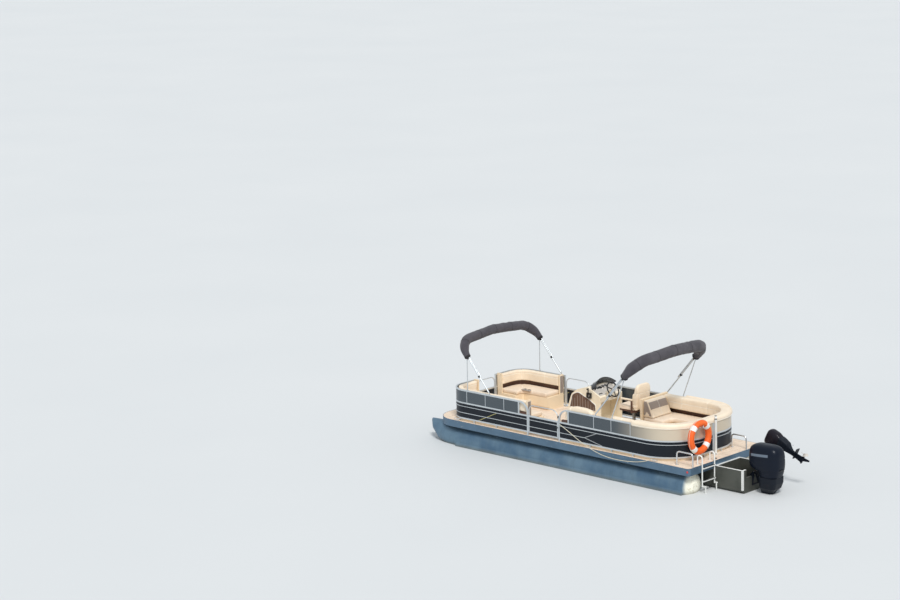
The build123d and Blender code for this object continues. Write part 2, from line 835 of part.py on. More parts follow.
wheel_plane = Plane(origin=wheel_centre, x_dir=(0, 1, 0), z_dir=wheel_axis)
with BuildPart(wheel_plane) as steering_wheel:
    Torus(wheel_radius - wheel_rim, wheel_rim)
    Cylinder(wheel_hub, wheel_hub_height)
    with PolarLocations((wheel_radius - wheel_rim) / 2, 3, start_angle=90.0):
        Box(wheel_radius - wheel_rim, spoke_width, spoke_wall)
    Cylinder(wheel_shaft + running_gap, 60.0, mode=Mode.SUBTRACT)
keep(steering_wheel, "steering_wheel")

# Windscreen: a bent sheet raked back over the hood
screen_way = Vector(-cos(radians(screen_pitch)), 0, sin(radians(screen_pitch)))
screen_half = console_width / 2 - 20.0
with BuildPart() as windscreen:
    with BuildSketch(Plane(origin=(screen_x, console_middle, screen_z), x_dir=(0, 1, 0),
                           z_dir=screen_way)) as band_face:
        with BuildLine() as edge:
            ThreePointArc((-screen_half, screen_drop), (0.0, 0.0), (screen_half, screen_drop))
            inner_half = screen_half - screen_wall
            ThreePointArc((-inner_half, screen_drop), (0.0, screen_wall), (inner_half, screen_drop))
            Line((-screen_half, screen_drop), (-inner_half, screen_drop))
            Line((screen_half, screen_drop), (inner_half, screen_drop))
        make_face(edge.line)
    extrude(band_face.sketch, amount=screen_length)
    add(console.part, mode=Mode.SUBTRACT)
keep(windscreen, "windscreen")

with BuildPart() as engine_control:
    half_size = control_size / 2
    outer_y = console_inboard + control_wall
    lever_top = control_z + lever_height
    block(control_x - half_size, control_x + half_size, console_inboard, outer_y,
          control_z - half_size, control_z + half_size)
    block(control_x - lever_knob + 5.0, control_x + lever_knob - 5.0, outer_y, outer_y + lever_knob,
          control_z - lever_knob, lever_top)
    rod((control_x, outer_y, lever_top), (control_x, outer_y + control_wall, lever_top), lever_knob)
keep(engine_control, "engine_control")

# Captain's chair on its column. The side outline's rows are the distance forward of the
# column, the height above its plate and the corner's radius.
CHAIR_SIDE = (
    (-240.0, 24.0, 20.0), (250.0, 24.0, 40.0), (265.0, 160.0, 40.0), (-130.0, 170.0, 50.0),
    (-195.0, chair_top - column_top, 50.0), (-310.0, chair_top - column_top, 40.0),
)
with BuildPart() as chair_column:
    for radius, high in ((column_plate, deck_top + column_plate_height), (column_radius, column_top - 10.0),
                         (column_pin, column_top + 10.0)):
        rod((chair_x, chair_y, deck_top), (chair_x, chair_y, high), radius)
keep(chair_column, "chair_column")
with BuildPart() as chair:
    low = column_top - 10.0 + seat_gap
    with BuildSketch(Plane.XZ.offset(-chair_y - chair_width / 2)):
        with BuildLine():
            FilletPolyline(*[(chair_x + ahead, column_top + up) for ahead, up, corner in CHAIR_SIDE],
                           radius=tuple(corner for ahead, up, corner in CHAIR_SIDE), close=True)
        make_face()
    extrude(amount=chair_width)
    # Seen from the front the back's head is round
    with BuildSketch(Plane.YZ.offset(chair_x - chair_width)) as front:
        with Locations((chair_y, (column_top + chair_top) / 2 - chair_corner / 2)):
            RectangleRounded(chair_width, chair_top - column_top + chair_corner, chair_corner)
    extrude(front.sketch, amount=2 * chair_width, mode=Mode.INTERSECT)
    block(chair_x - 110.0, chair_x + 110.0, chair_y - 130.0, chair_y + 130.0, low, column_top + 30.0)
    for arm in (1, -1):
        y = chair_y + arm * (chair_width / 2 + arm_width / 2 - 1.0)
        near, far = y - arm_width / 2, y + arm_width / 2
        arm_top = column_top + arm_low + arm_wall
        block(chair_x - 190.0, chair_x + 150.0, near, far, column_top + arm_low, arm_top)
        block(chair_x - 190.0, chair_x - 140.0, near, far, column_top + arm_foot, column_top + arm_low + 20.0)
    rod((chair_x, chair_y, low - 1.0), (chair_x, chair_y, column_top + 12.0), column_pin + running_gap,
        Mode.SUBTRACT)
keep(chair, "chair")

# Folded tops: a leaning hoop with a covered crown, a short second leg and a strut on either side.
# aft is 1 for the top that leans aft. Distances run along the leg from its pivot.
Top = namedtuple("Top", "name pivot_x lean reach cover cover_radius slide foot_x aft")
TOPS = (
    Top("front", front_top_pivot, front_top_lean, front_top_reach, front_top_reach - front_boot_drop,
        front_boot_radius, front_top_reach - front_boot_drop - front_slide_gap, front_strut_x, -1),
    Top("rear", rear_top_pivot, rear_top_lean, rear_top_reach, rear_top_reach - rear_boot_drop,
        rear_boot_radius, rear_top_reach - rear_boot_drop - rear_slide_gap, rear_strut_x, 1),
)


def leg_xz(top, along, under=0.0):
    """(x, z) of a point on the leg, or under it."""
    lean = radians(top.lean)
    return (top.pivot_x + along * cos(lean) - under * top.aft * sin(lean),
            top_pivot_z + along * sin(lean) + under * top.aft * cos(lean))


def leg_point(top, y, along, under=0.0):
    x, z = leg_xz(top, along, under)
    return (x, y, z)


def hoop_points(top, start):
    """Corner points of the hoop from one leg round the crown to the other."""
    shoulder = top.reach - crown_rise
    return (leg_point(top, fence_half_beam, start), leg_point(top, fence_half_beam, shoulder),
            leg_point(top, 0.0, top.reach + 0.2 * crown_rise),
            leg_point(top, -fence_half_beam, shoulder), leg_point(top, -fence_half_beam, start))


crown_radii = (top_corner_radius, 4 * top_corner_radius, top_corner_radius)
for top in TOPS:
    with BuildPart() as top_frame:
        bent_tube(hoop_points(top, 2 * eye_radius), crown_radii, top_tube)
        for side in (1, -1):
            y = side * fence_half_beam
            pivot = leg_xz(top, 0.0)
            hinge_at = leg_xz(top, top.slide, strut_gap)
            lug(pivot, leg_xz(top, 3 * eye_radius), eye_radius, y - eye_width / 2, y + eye_width / 2)
            rod((pivot[0], y - top_tube, pivot[1]), (pivot[0], y + top_tube, pivot[1]),
                hinge_pin_radius + running_gap, Mode.SUBTRACT)
            # Second leg above the first, and the fork that carries the strut under it
            start = second_share * top.cover
            rod(leg_point(top, y, start, -second_gap), leg_point(top, y, top.cover - seat_gap, -second_gap),
                second_tube)
            lug(leg_xz(top, start + 20.0), leg_xz(top, start + 20.0, -second_gap), 9.0, y - 4.0, y + 4.0)
            for hand in (1, -1):
                near = eye_width / 2 + cheek_gap
                lug(leg_xz(top, top.slide), hinge_at, eye_radius, y + hand * near,
                    y + hand * (near + cheek))
            reach = eye_width / 2 + cheek_gap + cheek
            rod((hinge_at[0], y - reach, hinge_at[1]), (hinge_at[0], y + reach, hinge_at[1]),
                hinge_pin_radius)
    keep(top_frame, top.name + "_top_frame")
    with BuildPart() as top_cover:
        points = hoop_points(top, top.cover)
        with BuildLine() as crown:
            FilletPolyline(*points, radius=crown_radii)
        with BuildSketch(Plane(origin=points[0], z_dir=Vector(*points[1]) - Vector(*points[0]))) as ring:
            Circle(top.cover_radius)
            Circle(top_tube + seat_gap, mode=Mode.SUBTRACT)
        sweep(ring.sketch, path=crown.line)
    keep(top_cover, top.name + "_top_cover")
    with BuildPart() as top_struts:
        foot = (top.foot_x, top_pivot_z)
        hinge_at = leg_xz(top, top.slide, strut_gap)
        for side in (1, -1):
            y = side * fence_half_beam
            run_x, run_z = hinge_at[0] - foot[0], hinge_at[1] - foot[1]
            length = hypot(run_x, run_z)
            lower = (foot[0] + run_x * 2 * eye_radius / length, foot[1] + run_z * 2 * eye_radius / length)
            upper = (hinge_at[0] - run_x * 2 * eye_radius / length,
                     hinge_at[1] - run_z * 2 * eye_radius / length)
            rod((lower[0], y, lower[1]), (upper[0], y, upper[1]), strut_radius)
            lug(foot, (2 * lower[0] - foot[0], 2 * lower[1] - foot[1]), strut_radius - 1.0,
                y - eye_width / 2, y + eye_width / 2)
            lug(hinge_at, (2 * upper[0] - hinge_at[0], 2 * upper[1] - hinge_at[1]), strut_radius - 1.0,
                y - eye_width / 2, y + eye_width / 2)
            rod((hinge_at[0], y - top_tube, hinge_at[1]), (hinge_at[0], y + top_tube, hinge_at[1]),
                hinge_pin_radius + running_gap, Mode.SUBTRACT)
    keep(top_struts, top.name + "_top_struts")

# Rail forks under the tops. Rows are x and whether the pin goes right through.
MOUNTS = ((front_top_pivot, True), (front_strut_x, False), (rear_top_pivot, True), (rear_strut_x, False))
with BuildPart() as top_mounts:
    for x, through in MOUNTS:
        for side in (1, -1):
            y = side * fence_half_beam
            block(x - 24.0, x + 24.0, y - half_rail + 2.0, y + half_rail - 2.0, rail_top, rail_top + cheek)
            near = eye_width / 2 + cheek_gap
            for hand in (1, -1):
                lug((x, rail_top + 8.0), (x, top_pivot_z), 8.0 + cheek_gap, y + hand * near,
                    y + hand * (near + cheek))
                rod((x, y + hand * (near + 1.0), top_pivot_z), (x, y + hand * (near + cheek + 3.0), top_pivot_z),
                    hinge_pin_radius + 1.5)
            if through:
                rod((x, y - near - cheek, top_pivot_z), (x, y + near + cheek, top_pivot_z), hinge_pin_radius)
            block(x - 40.0, x + 40.0, y - half_rail, y + half_rail, rail_top - 20.0, rail_top,
                  Mode.SUBTRACT)
keep(top_mounts, "top_mounts")

# Engine pod between the tubes, with an open well and a notched transom
deck_clear = deck_stern - seat_gap
with BuildPart() as engine_pod:
    plate(((pod_aft, pod_bottom), (pod_bow - pod_bow_rise, pod_bottom), (pod_bow, pod_bottom + pod_bow_rise),
           (pod_bow, beam_bottom), (deck_stern + trim_lip + 4.0, beam_bottom),
           (deck_stern + trim_lip + 4.0, tube_top), (deck_clear, tube_top), (deck_clear, pod_top),
           (pod_aft, pod_top)), -pod_half_width, pod_half_width)
    with BuildSketch(Plane.YZ.offset(pod_aft)) as section:
        with BuildLine() as edge:
            Polyline((-pod_half_width, pod_top), (-pod_half_width, pod_bottom + pod_chine),
                     (-pod_half_width + pod_chine, pod_bottom), (pod_half_width - pod_chine, pod_bottom),
                     (pod_half_width, pod_bottom + pod_chine), (pod_half_width, pod_top), close=True)
        make_face(edge.line)
    extrude(section.sketch, amount=pod_bow - pod_aft, mode=Mode.INTERSECT)
    block(pod_aft + transom_wall, well_front, -well_half_width, well_half_width, well_floor, pod_top,
          Mode.SUBTRACT)
    block(pod_aft, pod_aft + transom_wall, -notch_half_width, notch_half_width, transom_top, pod_top,
          Mode.SUBTRACT)
keep(engine_pod, "engine_pod")

# Outboards. An outboard's frame has its origin on the tilt axis, x forward and z up.
Outboard = namedtuple("Outboard", "name frame size drop")
tilt_way = radians(aux_tilt)
OUTBOARDS = (
    Outboard("main", Plane(origin=(tilt_x, 0, tilt_z)), 1.0, 1.0),
    Outboard("aux", Plane(origin=(aux_x, aux_y, aux_z), x_dir=(cos(tilt_way), 0, -sin(tilt_way)),
                          z_dir=(sin(tilt_way), 0, cos(tilt_way))), aux_size, aux_drop),
)


def spot(motor, x, y, z):
    """World point of an outboard's own coordinates."""
    return tuple(motor.frame.from_local_coords(Vector(x, y, z)))


def across(motor, x, y, z, x_way, z_way):
    """A plane in an outboard's own coordinates."""
    origin = motor.frame.from_local_coords(Vector(x, y, z))
    turned_x = motor.frame.from_local_coords(Vector(*x_way)) - motor.frame.origin
    turned_z = motor.frame.from_local_coords(Vector(*z_way)) - motor.frame.origin
    return Plane(origin=origin, x_dir=turned_x, z_dir=turned_z)


def side_plate(motor, points, half):
    """A flat piece with a side outline in an outboard's own x and z."""
    with BuildSketch(across(motor, 0, half, 0, (1, 0, 0), (0, -1, 0))) as outline:
        with BuildLine() as edge:
            Polyline(*points, close=True)
        make_face(edge.line)
    extrude(outline.sketch, amount=2 * half)


def level(motor, z, front, rear, width, corner):
    """A rounded level section of an outboard."""
    with BuildSketch(across(motor, 0, 0, z, (1, 0, 0), (0, 0, 1))) as outline:
        with Locations(((front + rear) / 2, 0)):
            RectangleRounded(front - rear, width, corner)
    return outline.sketch


# Side outline of the swivel's web, forward and up from the tilt axis
SWIVEL_WEB = (
    (-125.0, -195.0), (-125.0, -85.0), (-66.0, -85.0), (-22.0, 20.0), (14.0, -14.0), (-70.0, -195.0),
)
web_half = 38.0


def swivel(motor):
    """Tilt barrel and steering barrel in one piece."""
    s = motor.size
    with BuildPart() as piece:
        rod(spot(motor, 0, -tilt_half_width * s, 0), spot(motor, 0, tilt_half_width * s, 0), tilt_barrel * s)
        rod(spot(motor, -steer_offset * s, 0, -200.0 * s), spot(motor, -steer_offset * s, 0, -85.0 * s),
            swivel_radius * s)
        side_plate(motor, [(x * s, z * s) for x, z in SWIVEL_WEB], web_half * s)
        rod(spot(motor, 0, -tilt_half_width * s - 1.0, 0), spot(motor, 0, tilt_half_width * s + 1.0, 0),
            tilt_pin * s + running_gap, Mode.SUBTRACT)
        rod(spot(motor, -steer_offset * s, 0, -201.0 * s), spot(motor, -steer_offset * s, 0, -84.0 * s),
            steer_shaft * s + running_gap, Mode.SUBTRACT)
    return piece


# The leg's rows under the cowl, and the cowl's rows: height, front, rear, width and corner radius
LEG_ROWS = (
    (-30.0, -170.0, -600.0, 420.0, 100.0), (-150.0, -170.0, -600.0, 410.0, 100.0),
    (-270.0, -170.0, -560.0, 360.0, 90.0), (-350.0, -170.0, -480.0, 230.0, 60.0),
    (-0.8 * plate_drop, -172.0, -400.0, 110.0, 40.0), (-plate_drop, -172.0, -390.0, 96.0, 40.0),
)
COWL_ROWS = (
    (-30.0, -170.0, -600.0, 420.0, 100.0), (90.0, -130.0, -640.0, 450.0, 120.0),
    (120.0, 30.0, -650.0, 460.0, 140.0), (230.0, 100.0, -662.0, 490.0, 160.0),
    (450.0, 105.0, -655.0, 480.0, 160.0), (560.0, 80.0, -620.0, 430.0, 150.0),
    (625.0, 30.0, -560.0, 340.0, 130.0), (650.0, -40.0, -490.0, 230.0, 100.0),
)
# Rows of the gearcase: distance from the tilt axis and radius
GEARCASE_ROWS = ((-100.0, 12.0), (-135.0, 38.0), (-210.0, 54.0), (-420.0, 54.0), (-515.0, hub_radius))
# Rows of a propeller blade: share of the radius, and chord
BLADE_ROWS = ((0.16, 70.0), (0.55, 150.0), (0.9, 140.0), (1.0, 60.0))


def leg(motor):
    """Steering shaft, midsection, plate, gearcase and skeg."""
    s, d = motor.size, motor.drop
    shaft_x = -steer_offset * s
    with BuildPart() as piece:
        loft([level(motor, z * s if z > -200.0 else z * d, front * s, rear * s, width * s, corner * s)
              for z, front, rear, width, corner in LEG_ROWS], ruled=True)
    with BuildPart() as lower:
        add(piece.part)
        rod(spot(motor, shaft_x, 0, -222.0 * s), spot(motor, shaft_x, 0, -30.0 * s), steer_shaft * s)
        side_plate(motor, [(x * s, z * s) for x, z in
                           ((-95.0, -54.0), (-95.0, -30.0), (-200.0, -30.0), (-200.0, -54.0))], 34.0 * s)
        side_plate(motor, [(x * s, z * s) for x, z in
                           ((-95.0, -222.0), (-95.0, -206.0), (-200.0, -206.0), (-200.0, -222.0))], 34.0 * s)
        with BuildSketch(across(motor, 0, 0, -plate_drop * d - 7.0 * s, (1, 0, 0), (0, 0, 1))) as fin:
            with Locations((-360.0 * s, 0)):
                RectangleRounded(500.0 * s, 270.0 * s, 60.0 * s)
        extrude(fin.sketch, amount=14.0 * s)
        # Strut down to the gearcase, the gearcase and the skeg
        shaft_z = -propeller_drop * d
        side_plate(motor, ((-175.0 * s, -plate_drop * d), (-380.0 * s, -plate_drop * d),
                           (-420.0 * s, shaft_z), (-150.0 * s, shaft_z)), 22.0 * s)
        side_plate(motor, ((-230.0 * s, shaft_z), (-420.0 * s, shaft_z), (-470.0 * s, -skeg_drop * d),
                           (-400.0 * s, -skeg_drop * d)), 7.0 * s)
        add(gearcase(motor).part)
    return lower


def gearcase(motor):
    """Round gearcase with a blunt nose."""
    s = motor.size
    with BuildPart() as piece:
        for x, radius in GEARCASE_ROWS:
            with BuildSketch(across(motor, x * s, 0, -propeller_drop * motor.drop, (0, 1, 0), (1, 0, 0))):
                Circle(radius * s)
        loft(ruled=True)
        rod(spot(motor, -510.0 * s, 0, -propeller_drop * motor.drop),
            spot(motor, -610.0 * s, 0, -propeller_drop * motor.drop), 12.0 * s)
    return piece


def cowl(motor):
    """Engine cover in level sections."""
    s = motor.size
    with BuildPart() as piece:
        loft([level(motor, z * s + seat_gap if z < 0 else z * s, front * s, rear * s, width * s, corner * s)
              for z, front, rear, width, corner in COWL_ROWS], ruled=True)
    return piece


def propeller(motor):
    """Three twisted blades on a bored hub."""
    s = motor.size
    drop = propeller_drop * motor.drop
    with BuildPart() as wheel:
        rod(spot(motor, -518.0 * s, 0, -drop), spot(motor, -600.0 * s, 0, -drop), hub_radius * s)
    for number in range(3):
        turn = radians(120.0 * number + 90.0)
        with BuildPart() as blade:
            for radius, chord in BLADE_ROWS:
                reach = radius * propeller_radius * s
                twist = degrees(atan(blade_pitch * s / (2 * pi * reach)))
                out = (0, cos(turn), sin(turn))
                with BuildSketch(across(motor, -560.0 * s, reach * out[1], reach * out[2] - drop,
                                        (1, 0, 0), out)):
                    Rectangle(blade_wall * s, chord * s, rotation=twist)
            loft(ruled=True)
        with BuildPart() as grown:
            add(wheel.part)
            add(blade.part)
        wheel = grown
    with BuildPart() as bored:
        add(wheel.part)
        rod(spot(motor, -500.0 * s, 0, -drop), spot(motor, -620.0 * s, 0, -drop), 12.0 * s + running_gap,
            Mode.SUBTRACT)
    return bored


for motor in OUTBOARDS:
    for maker, piece_name in ((swivel, "swivel"), (leg, "leg"), (cowl, "cowl"), (propeller, "propeller")):
        piece = maker(motor)
        keep(piece, motor.name + "_" + piece_name)


def clamp(x, y, z, s, board, board_top, inner):
    """Clamp bracket: two cheeks that hook over a board, with the tilt pin."""
    with BuildPart() as piece:
        near = (tilt_half_width + clamp_gap) * s
        far = near + clamp_cheek * s
        for hand in (1, -1):
            plate(((board, z - clamp_drop * s), (board, board_top), (inner, board_top),
                   (inner, board_top + clamp_hook * s),
                   (x + 15.0 * s, z + 30.0 * s), (x - 20.0 * s, z + 30.0 * s), (x - 25.0 * s, z - 20.0 * s),
                   (board - 20.0 * s, z - clamp_drop * s)), y + hand * near, y + hand * far)
        rod((x, y - far, z), (x, y + far, z), tilt_pin * s)
        block(board, board - 10.0 * s, y - far, y + far, z - clamp_drop * s, z - (clamp_drop - 30.0) * s)
    return piece


main_clamp = clamp(tilt_x, 0.0, tilt_z, 1.0, pod_aft, transom_top, pod_aft + transom_wall + 15.0)
keep(main_clamp, "main_bracket")
board_aft = aux_x + board_wall
board_top = aux_z - board_drop
with BuildPart() as aux_board:
    with BuildSketch(Plane.YZ.offset(board_aft)) as outline:
        with BuildLine() as edge:
            Polyline((-pod_half_width, well_floor + 150.0), (-pod_half_width, transom_top + 110.0),
                     (aux_y + board_half_width, board_top), (aux_y - board_half_width, board_top),
                     (aux_y - board_half_width, board_top - 2 * board_half_width),
                     (aux_y + 80.0, board_top - 260.0), close=True)
        make_face(edge.line)
    extrude(outline.sketch, amount=board_wall)
keep(aux_board, "aux_board")
aux_clamp = clamp(aux_x, aux_y, aux_z, aux_size, board_aft, board_top, board_aft + board_wall + 10.0)
keep(aux_clamp, "aux_bracket")

# Boarding ladder: fixed upper half with hand loops, and a lower half that folds up aft
rail_ys = (ladder_inner_y + ladder_tube, ladder_outer_y - ladder_tube)
step_low, step_high = ladder_inner_y + ladder_tube, ladder_outer_y - ladder_tube
with BuildPart() as ladder_upper:
    for y in rail_ys:
        bent_tube(((loop_front_x, y, deck_top), (loop_front_x, y, loop_top_z), (ladder_x, y, loop_top_z),
              (ladder_x, y, ladder_hinge_z - 20.0)), (55.0, 55.0), ladder_tube)
        lug((ladder_x, ladder_hinge_z), (ladder_hinge_x, ladder_hinge_z), ladder_lug,
            y - ladder_lug_wall / 2, y + ladder_lug_wall / 2)
        block(loop_front_x - ladder_foot_plate, loop_front_x + ladder_foot_plate, y - ladder_tube,
              y + ladder_tube, deck_top, deck_top + 6.0)
        inward = 1 if y < (ladder_inner_y + ladder_outer_y) / 2 else -1
        rod((ladder_hinge_x, y, ladder_hinge_z),
            (ladder_hinge_x, y + inward * (ladder_shift + 10.0), ladder_hinge_z), hinge_pin_radius + 1.0)
    for z in upper_step_zs:
        block(ladder_x - step_width / 2, ladder_x + 12.0, step_low, step_high, z - step_height / 2,
              z + step_height / 2)
keep(ladder_upper, "ladder_upper")
lower_ys = (rail_ys[0] + ladder_shift, rail_ys[1] - ladder_shift)
with BuildPart() as ladder_lower:
    for y in lower_ys:
        rod((ladder_hinge_x, y, ladder_hinge_z - 30.0), (ladder_hinge_x, y, ladder_foot_z), ladder_tube - 2.0)
        lug((ladder_hinge_x, ladder_hinge_z), (ladder_hinge_x, ladder_hinge_z - 50.0), 12.0, y - 8.0, y + 8.0)
        rod((ladder_hinge_x, y - 20.0, ladder_hinge_z), (ladder_hinge_x, y + 20.0, ladder_hinge_z),
            hinge_pin_radius + 1.0 + running_gap, Mode.SUBTRACT)
    for z in lower_step_zs:
        block(ladder_hinge_x - 12.0, ladder_hinge_x + step_width - 26.0, lower_ys[0], lower_ys[1],
              z - step_height / 2, z + step_height / 2)
keep(ladder_lower, "ladder_lower")

# Deck fittings. Handle rows are the distance of the two feet from the stern edge, and y;
# cleat rows are x and the distance in from the deck's side, with 1 to port and -1 to starboard.
HANDLES = ((20.0, 440.0, half_beam - 155.0), (20.0, 400.0, 585.0 - half_beam))
CLEATS = ((-2740.0, 35.0, 1), (-2740.0, 35.0, -1), (2950.0, 39.0, 1), (2950.0, 39.0, -1))
with BuildPart() as deck_fittings:
    for aft, front, y in HANDLES:
        low_x = deck_stern + aft
        high_x = deck_stern + front
        bent_tube(((low_x, y, deck_top), (low_x, y, handle_top_z), (high_x, y, handle_top_z),
                   (high_x, y, deck_top)), (handle_bend, handle_bend), handle_tube)
    for x, inset, side in CLEATS:
        y = side * (half_beam - inset)
        half = cleat_width / 2
        horn_z = deck_top + cleat_rise
        block(x - cleat_base, x + cleat_base, y - half, y + half, deck_top, deck_top + 6.0)
        for shift in (-cleat_foot, cleat_foot):
            rod((x + shift, y, deck_top), (x + shift, y, horn_z), horn_radius - 1.0)
        rod((x - horn_reach, y, horn_z), (x + horn_reach, y, horn_z), horn_radius)
keep(deck_fittings, "deck_fittings")
corner_x = fence_stern + fence_stern_radius
corner_y = fence_half_beam - fence_stern_radius
peg_radius = 12.0
peg_z = ring_z + ring_radius - ring_section - peg_radius - seat_gap
rail_x = corner_x - sqrt((fence_stern_radius + half_rail) ** 2 - (ring_y - peg_radius - corner_y) ** 2)
with BuildPart() as ring_peg:
    bent_tube(((rail_x - seat_gap, ring_y, peg_z), (ring_x - ring_section - 24.0, ring_y, peg_z),
               (ring_x - ring_section - 24.0, ring_y, peg_z + 50.0)), 16.0, peg_radius)
keep(ring_peg, "ring_peg")
with BuildPart(Plane(origin=(ring_x, ring_y, ring_z), z_dir=(-1, 0, 0))) as life_ring:
    Torus(ring_radius, ring_section)
keep(life_ring, "life_ring")
with BuildPart() as light_post:
    rod((light_x, 0.0, deck_top), (light_x, 0.0, light_top_z), light_radius)
    rod((light_x, 0.0, deck_top), (light_x, 0.0, deck_top + 8.0), light_radius + 12.0)
keep(light_post, "light_post")

# Mooring rope, slack over the port edge of the deck: x, distance outside the deck's side, and z
# of the corners of its route
ROPE = (
    (-120.0, -33.0, 990.0), (-270.0, -3.0, 945.0), (-450.0, 11.0, 868.0), (-650.0, 17.0, 764.0),
    (-860.0, 19.0, 672.0), (-1080.0, 20.0, 592.0), (-1300.0, 21.0, 532.0), (-1530.0, 21.0, 498.0),
    (-1770.0, 21.0, 488.0), (-2010.0, 21.0, 497.0), (-2250.0, 20.0, 522.0), (-2450.0, 17.0, 558.0),
    (-2610.0, 8.0, 606.0), (-2700.0, -19.0, 652.0),
)
corners = [Vector(x, half_beam + outside, z) for x, outside, z in ROPE]
rope_radii = []
for before, corner, after in zip(corners, corners[1:], corners[2:]):
    first = corner - before
    second = after - corner
    turn = radians(first.get_angle(second))
    rope_radii.append(round(0.45 * min(first.length, second.length) / (sin(turn / 2) / cos(turn / 2)), 1))
print("rope radii", rope_radii)
with BuildPart() as rope:
    with BuildLine() as route:
        FilletPolyline(*corners, radius=rope_radii)
    with BuildSketch(Plane(origin=corners[0], z_dir=corners[1] - corners[0])) as section:
        Circle(rope_radius)
    sweep(section.sketch, path=route.line)
keep(rope, "rope")
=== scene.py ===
import json
import math
from collections import namedtuple

import bmesh
import bpy
from mathutils import Matrix, Vector, noise


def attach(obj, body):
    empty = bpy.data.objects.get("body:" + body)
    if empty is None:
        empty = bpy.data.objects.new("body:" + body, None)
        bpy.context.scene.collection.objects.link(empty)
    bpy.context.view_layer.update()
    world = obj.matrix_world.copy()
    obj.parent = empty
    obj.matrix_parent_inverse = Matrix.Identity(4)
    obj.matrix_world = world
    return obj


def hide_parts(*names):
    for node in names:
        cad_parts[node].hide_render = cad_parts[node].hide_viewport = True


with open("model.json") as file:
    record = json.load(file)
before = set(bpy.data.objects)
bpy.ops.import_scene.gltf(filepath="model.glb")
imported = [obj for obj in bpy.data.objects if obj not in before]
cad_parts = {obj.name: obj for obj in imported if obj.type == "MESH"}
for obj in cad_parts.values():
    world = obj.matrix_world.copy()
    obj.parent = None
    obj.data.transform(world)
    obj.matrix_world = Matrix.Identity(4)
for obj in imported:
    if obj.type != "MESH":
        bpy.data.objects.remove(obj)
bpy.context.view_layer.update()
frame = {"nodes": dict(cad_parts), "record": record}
nodes = frame["nodes"]

# Sizes in metres: x points forward, y to port and z up; z is 0 at the water
DECK_TOP = 0.6
DECK_SIDE = 1.295
FENCE_Y = 1.228
FENCE_BOW, FENCE_STERN = 3.234, -3.334
BOW_RADIUS, STERN_RADIUS = 0.43, 0.9
BOW_CORNER = (FENCE_BOW - BOW_RADIUS, FENCE_Y - BOW_RADIUS)
STERN_CORNER = (FENCE_STERN + STERN_RADIUS, FENCE_Y - STERN_RADIUS)
PANEL_FACE = 1.2385
BASE_TOP = 0.9
SEAT_TOP = 1.0
BACK_FOOT = 1.085
TUBE_Y, TUBE_Z, TUBE_RADIUS = 0.96, 0.1225, 0.3175
UP, AFT, FORWARD = Vector((0.0, 0.0, 1.0)), Vector((-1.0, 0.0, 0.0)), Vector((1.0, 0.0, 0.0))


def shade(red, green, blue):
    """A colour from its screen values, 0 to 255, as the shader takes it."""
    return tuple(((v / 255 + 0.055) / 1.055) ** 2.4 if v > 10 else v / 255 / 12.92 for v in (red, green, blue))


# Materials


class Value:
    """A socket of a material. Arithmetic on it adds Math nodes."""

    def __init__(self, look, socket):
        self.look = look
        self.socket = socket

    def math(self, operation, *others):
        return self.look.node("ShaderNodeMath", {"operation": operation}, (self, *others))

    def __add__(self, other):
        return self.math("ADD", other)

    def __sub__(self, other):
        return self.math("SUBTRACT", other)

    def __rsub__(self, other):
        return self.look.node("ShaderNodeMath", {"operation": "SUBTRACT"}, (other, self))

    def __mul__(self, other):
        return self.math("MULTIPLY", other)

    def __truediv__(self, other):
        return self.math("DIVIDE", other)

    __radd__ = __add__
    __rmul__ = __mul__

    def step(self, low, high):
        """0 below low and 1 above high, smooth between."""
        return self.look.node("ShaderNodeMapRange", {"interpolation_type": "SMOOTHSTEP"}, (self, low, high))

    def near(self, middle, width):
        """1 at the middle value and 0 farther from it than the width."""
        return 1.0 - ((self - middle).math("ABSOLUTE")).step(width * 0.6, width)


